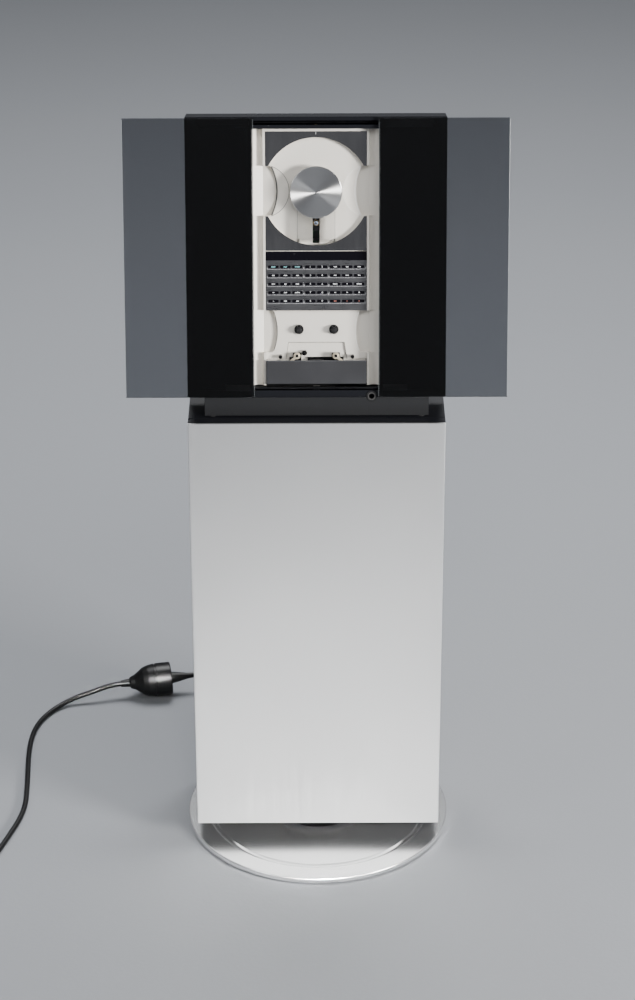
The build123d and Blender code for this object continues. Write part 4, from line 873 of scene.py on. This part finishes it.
def makeArc(look, side):
    # A fine curved band laid on the deck: part of a circle, drawn in to its width and given a little depth
    bpy.ops.mesh.primitive_circle_add(vertices=240, radius=look["radius"])
    band = bpy.context.object
    editSelected(band, lambda spot: (abs(math.degrees(math.atan2(spot.co.y, -spot.co.x * side)))
                                     > look["half"]), "VERT")
    bpy.ops.mesh.delete(type="VERT")
    bpy.ops.mesh.select_all(action="SELECT")
    bpy.ops.mesh.extrude_edges_move()
    scale = 1 - look["width"] / look["radius"]
    bpy.ops.transform.resize(value=(scale, scale, 1), center_override=(0, 0, 0))
    turnOutwards()
    faceFront(band, side * look["middle"][0], arcLook["from"], look["middle"][1])
    band.matrix_world = headPlace
    lay = band.modifiers.new("lay", "SHRINKWRAP")
    lay.target = nodes["deck_moulding"]
    lay.wrap_method = "PROJECT"
    lay.use_project_y = True
    lay.offset = arcLook["lift"]
    applyModifiers(band)
    applyPlace(band)
    raiseFlat(band, arcLook["thick"])
    return band


def makeShadeLines():
    # Painted shade along the step round the head bridge's recess, painted shade on the left rims of the
    # finger room and painted highlight on the right ones, and a fine printed tick
    lines = [makeLine(start, end, bridgeShadeLook["w"], bridgeShadeLook["width"]) for start, end in bridgeShadeLook["runs"]]
    bridgeShade = joinPieces(lines, "bridgeStepShade")
    placeInHead(bridgeShade)
    finishPiece(bridgeShade, "cabinet", materials["paintedShadeGrey"])
    # Light comes from the right, so the left rims get painted shade and the right rims get painted highlight
    for name, side, rims, finish in (("scoopRimShade_left", -1, [scoopRim], "paintedShadeGrey"),
                                     ("gripRimShade_left", -1, gripRims, "paintedShadeDark"),
                                     ("rimHighlights_right", 1, [scoopRim, *gripRims], "paintedHighlightLight")):
        rim = joinPieces([makeArc(look, side) for look in rims], name)
        finishPiece(rim, "cabinet", materials[finish])
    tick = makeBar(**tickLook)
    tick.name = "plateTick"
    placeInHead(tick)
    finishPiece(tick, "cabinet", materials["printWhite"])
    print("creases made")


def makeTrim():
    # The dark surround of the display, and painted shade on the clamp's clear legs: dark strips standing for
    # how their clear edges refract the dark surroundings
    surround = makeBar(**windowSurround)
    surround.name = "windowSurround"
    placeInHead(surround)
    finishPiece(surround, "cabinet", materials["windowDark"])
    half = legEdgeShadeLook["line"] / 2
    legs = [makeBar((middle - half, middle + half), legEdgeShadeLook["w"], legEdgeShadeLook["v"])
            for middle in (-legEdgeShadeLook["x"], legEdgeShadeLook["x"])]
    edges = joinPieces(legs, "clampLegEdgeShade")
    placeInHead(edges)
    finishPiece(edges, "clamp_arm", materials["paintedShadeDark"])
    print("trim made")


# Sizes of the painted highlight strips on the ends of the glass doors
glassEdgeHighlights = {"line": 0.0005, "finer": 3, "proud": 0.00003, "deep": 0.0006, "foot": 0.0008, "inset": 0.0012}


def makeGlassEdgeHighlights():
    # The ground and polished ends of the two doors: opaque grey strips on the real ends, a painted highlight
    # for the fine lines of light they catch
    look = glassEdgeHighlights
    for side, name in ((-1, "left"), (1, "right")):
        low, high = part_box(f"{name}_glass_door")
        tall = (high[2] - low[2]) / math.cos(head["lean"])
        strips = []
        for x, way in ((low[0], -1), (high[0], 1)):
            line = look["line"] if way == side else look["line"] / look["finer"]  # the inner ends are finer
            span = sorted((x + way * look["proud"], x - way * line))
            strips.append(makeBar(span, (-look["proud"], look["deep"]),
                                  (look["foot"] + look["inset"], tall - look["inset"])))
        edges = joinPieces(strips, f"glassEdgeHighlights_{name}")
        placeInHead(edges)
        finishPiece(edges, f"{name}_glass", materials["glassEdgeHighlight"])
    print("glass edges made")


makeLens()
makeRollerHolders()
makeSocketRing()
makeTrim()
makeGlassEdgeHighlights()
makeShadeLines()


floorLook = {"colour": (0.225, 0.234, 0.250), "roughness": 0.9, "specular": 0.1, "skin": 220.0, "bump": 0.1,
             "bumpDistance": 0.001, "change": 0.05, "mottleScale": 2.0}
floorPlace = {"size": 14, "location": (0, 1.5, 0)}


def makeStage():
    bpy.ops.mesh.primitive_plane_add(**floorPlace)
    floor = bpy.context.object
    floor.name = "floor"
    floor.data.materials.append(newMaterial("paleFloor", floorLook))


lightLook = {
    "keyRight": {"place": (2.6, -1.9, 1.35), "aim": (0, 0, 0.75), "size": (0.9, 0.6), "power": 210,
                 "colour": (1.0, 0.985, 0.96)},
    "fillLeft": {"place": (-2.7, -2.3, 2.3), "aim": (0, 0, 0.6), "size": (1.2, 1.4), "power": 26,
                 "colour": (0.96, 0.98, 1.0)},
    "frontHigh": {"place": (0.9, -2.6, 3.5), "aim": (0, 0, 0.4), "size": (2.4, 1.4), "power": 70,
                  "colour": (1.0, 0.99, 0.975), "matt": True},
    "footLight": {"place": (0.3, -3.2, 2.3), "aim": (0, -0.2, 0), "size": (0.4, 0.4), "power": 25,
                  "colour": (1.0, 0.995, 0.985), "spread": 14, "shine": True},
    "topBack": {"place": (0.1, 1.5, 3.0), "aim": (0, 0, 0.1), "size": (2.4, 1.4), "power": 150,
                "colour": (0.98, 0.99, 1.0)},
}
worldLook = {"horizon": (0.12, (0.116, 0.118, 0.125)), "middle": (0.42, (0.16, 0.165, 0.175)),
             "zenith": (0.9, (0.40, 0.41, 0.43)), "strength": 0.8}


def addLight(name, look):
    data = bpy.data.lights.new(name, "AREA")
    data.shape = "RECTANGLE"
    data.size, data.size_y = look["size"]
    data.energy = look["power"]
    data.color = look["colour"]
    data.spread = math.radians(look.get("spread", 180))
    light = bpy.data.objects.new(name, data)
    light.visible_glossy = not look.get("matt", False)
    light.visible_diffuse = not look.get("shine", False)
    bpy.context.scene.collection.objects.link(light)
    light.location = look["place"]
    way = Vector(look["aim"]) - Vector(look["place"])
    light.rotation_euler = way.to_track_quat("-Z", "Y").to_euler()


def makeLight():
    for name, look in lightLook.items():
        addLight(name, look)
    world = bpy.data.worlds.new("studio")
    world.use_nodes = True
    tree = world.node_tree
    background = tree.nodes["Background"]
    way = tree.nodes.new("ShaderNodeTexCoord")
    parts = tree.nodes.new("ShaderNodeSeparateXYZ")
    tree.links.new(way.outputs["Generated"], parts.inputs[0])
    ramp = tree.nodes.new("ShaderNodeValToRGB")
    stops = ramp.color_ramp.elements
    for index, key in ((0, "horizon"), (1, "zenith")):
        stops[index].position, colour = worldLook[key]
        stops[index].color = (*colour, 1)
    position, colour = worldLook["middle"]
    stops.new(position).color = (*colour, 1)
    tree.links.new(parts.outputs["Z"], ramp.inputs["Fac"])
    tree.links.new(ramp.outputs["Color"], background.inputs["Color"])
    background.inputs["Strength"].default_value = worldLook["strength"]
    bpy.context.scene.world = world


makeStage()
makeLight()
print("stage set")
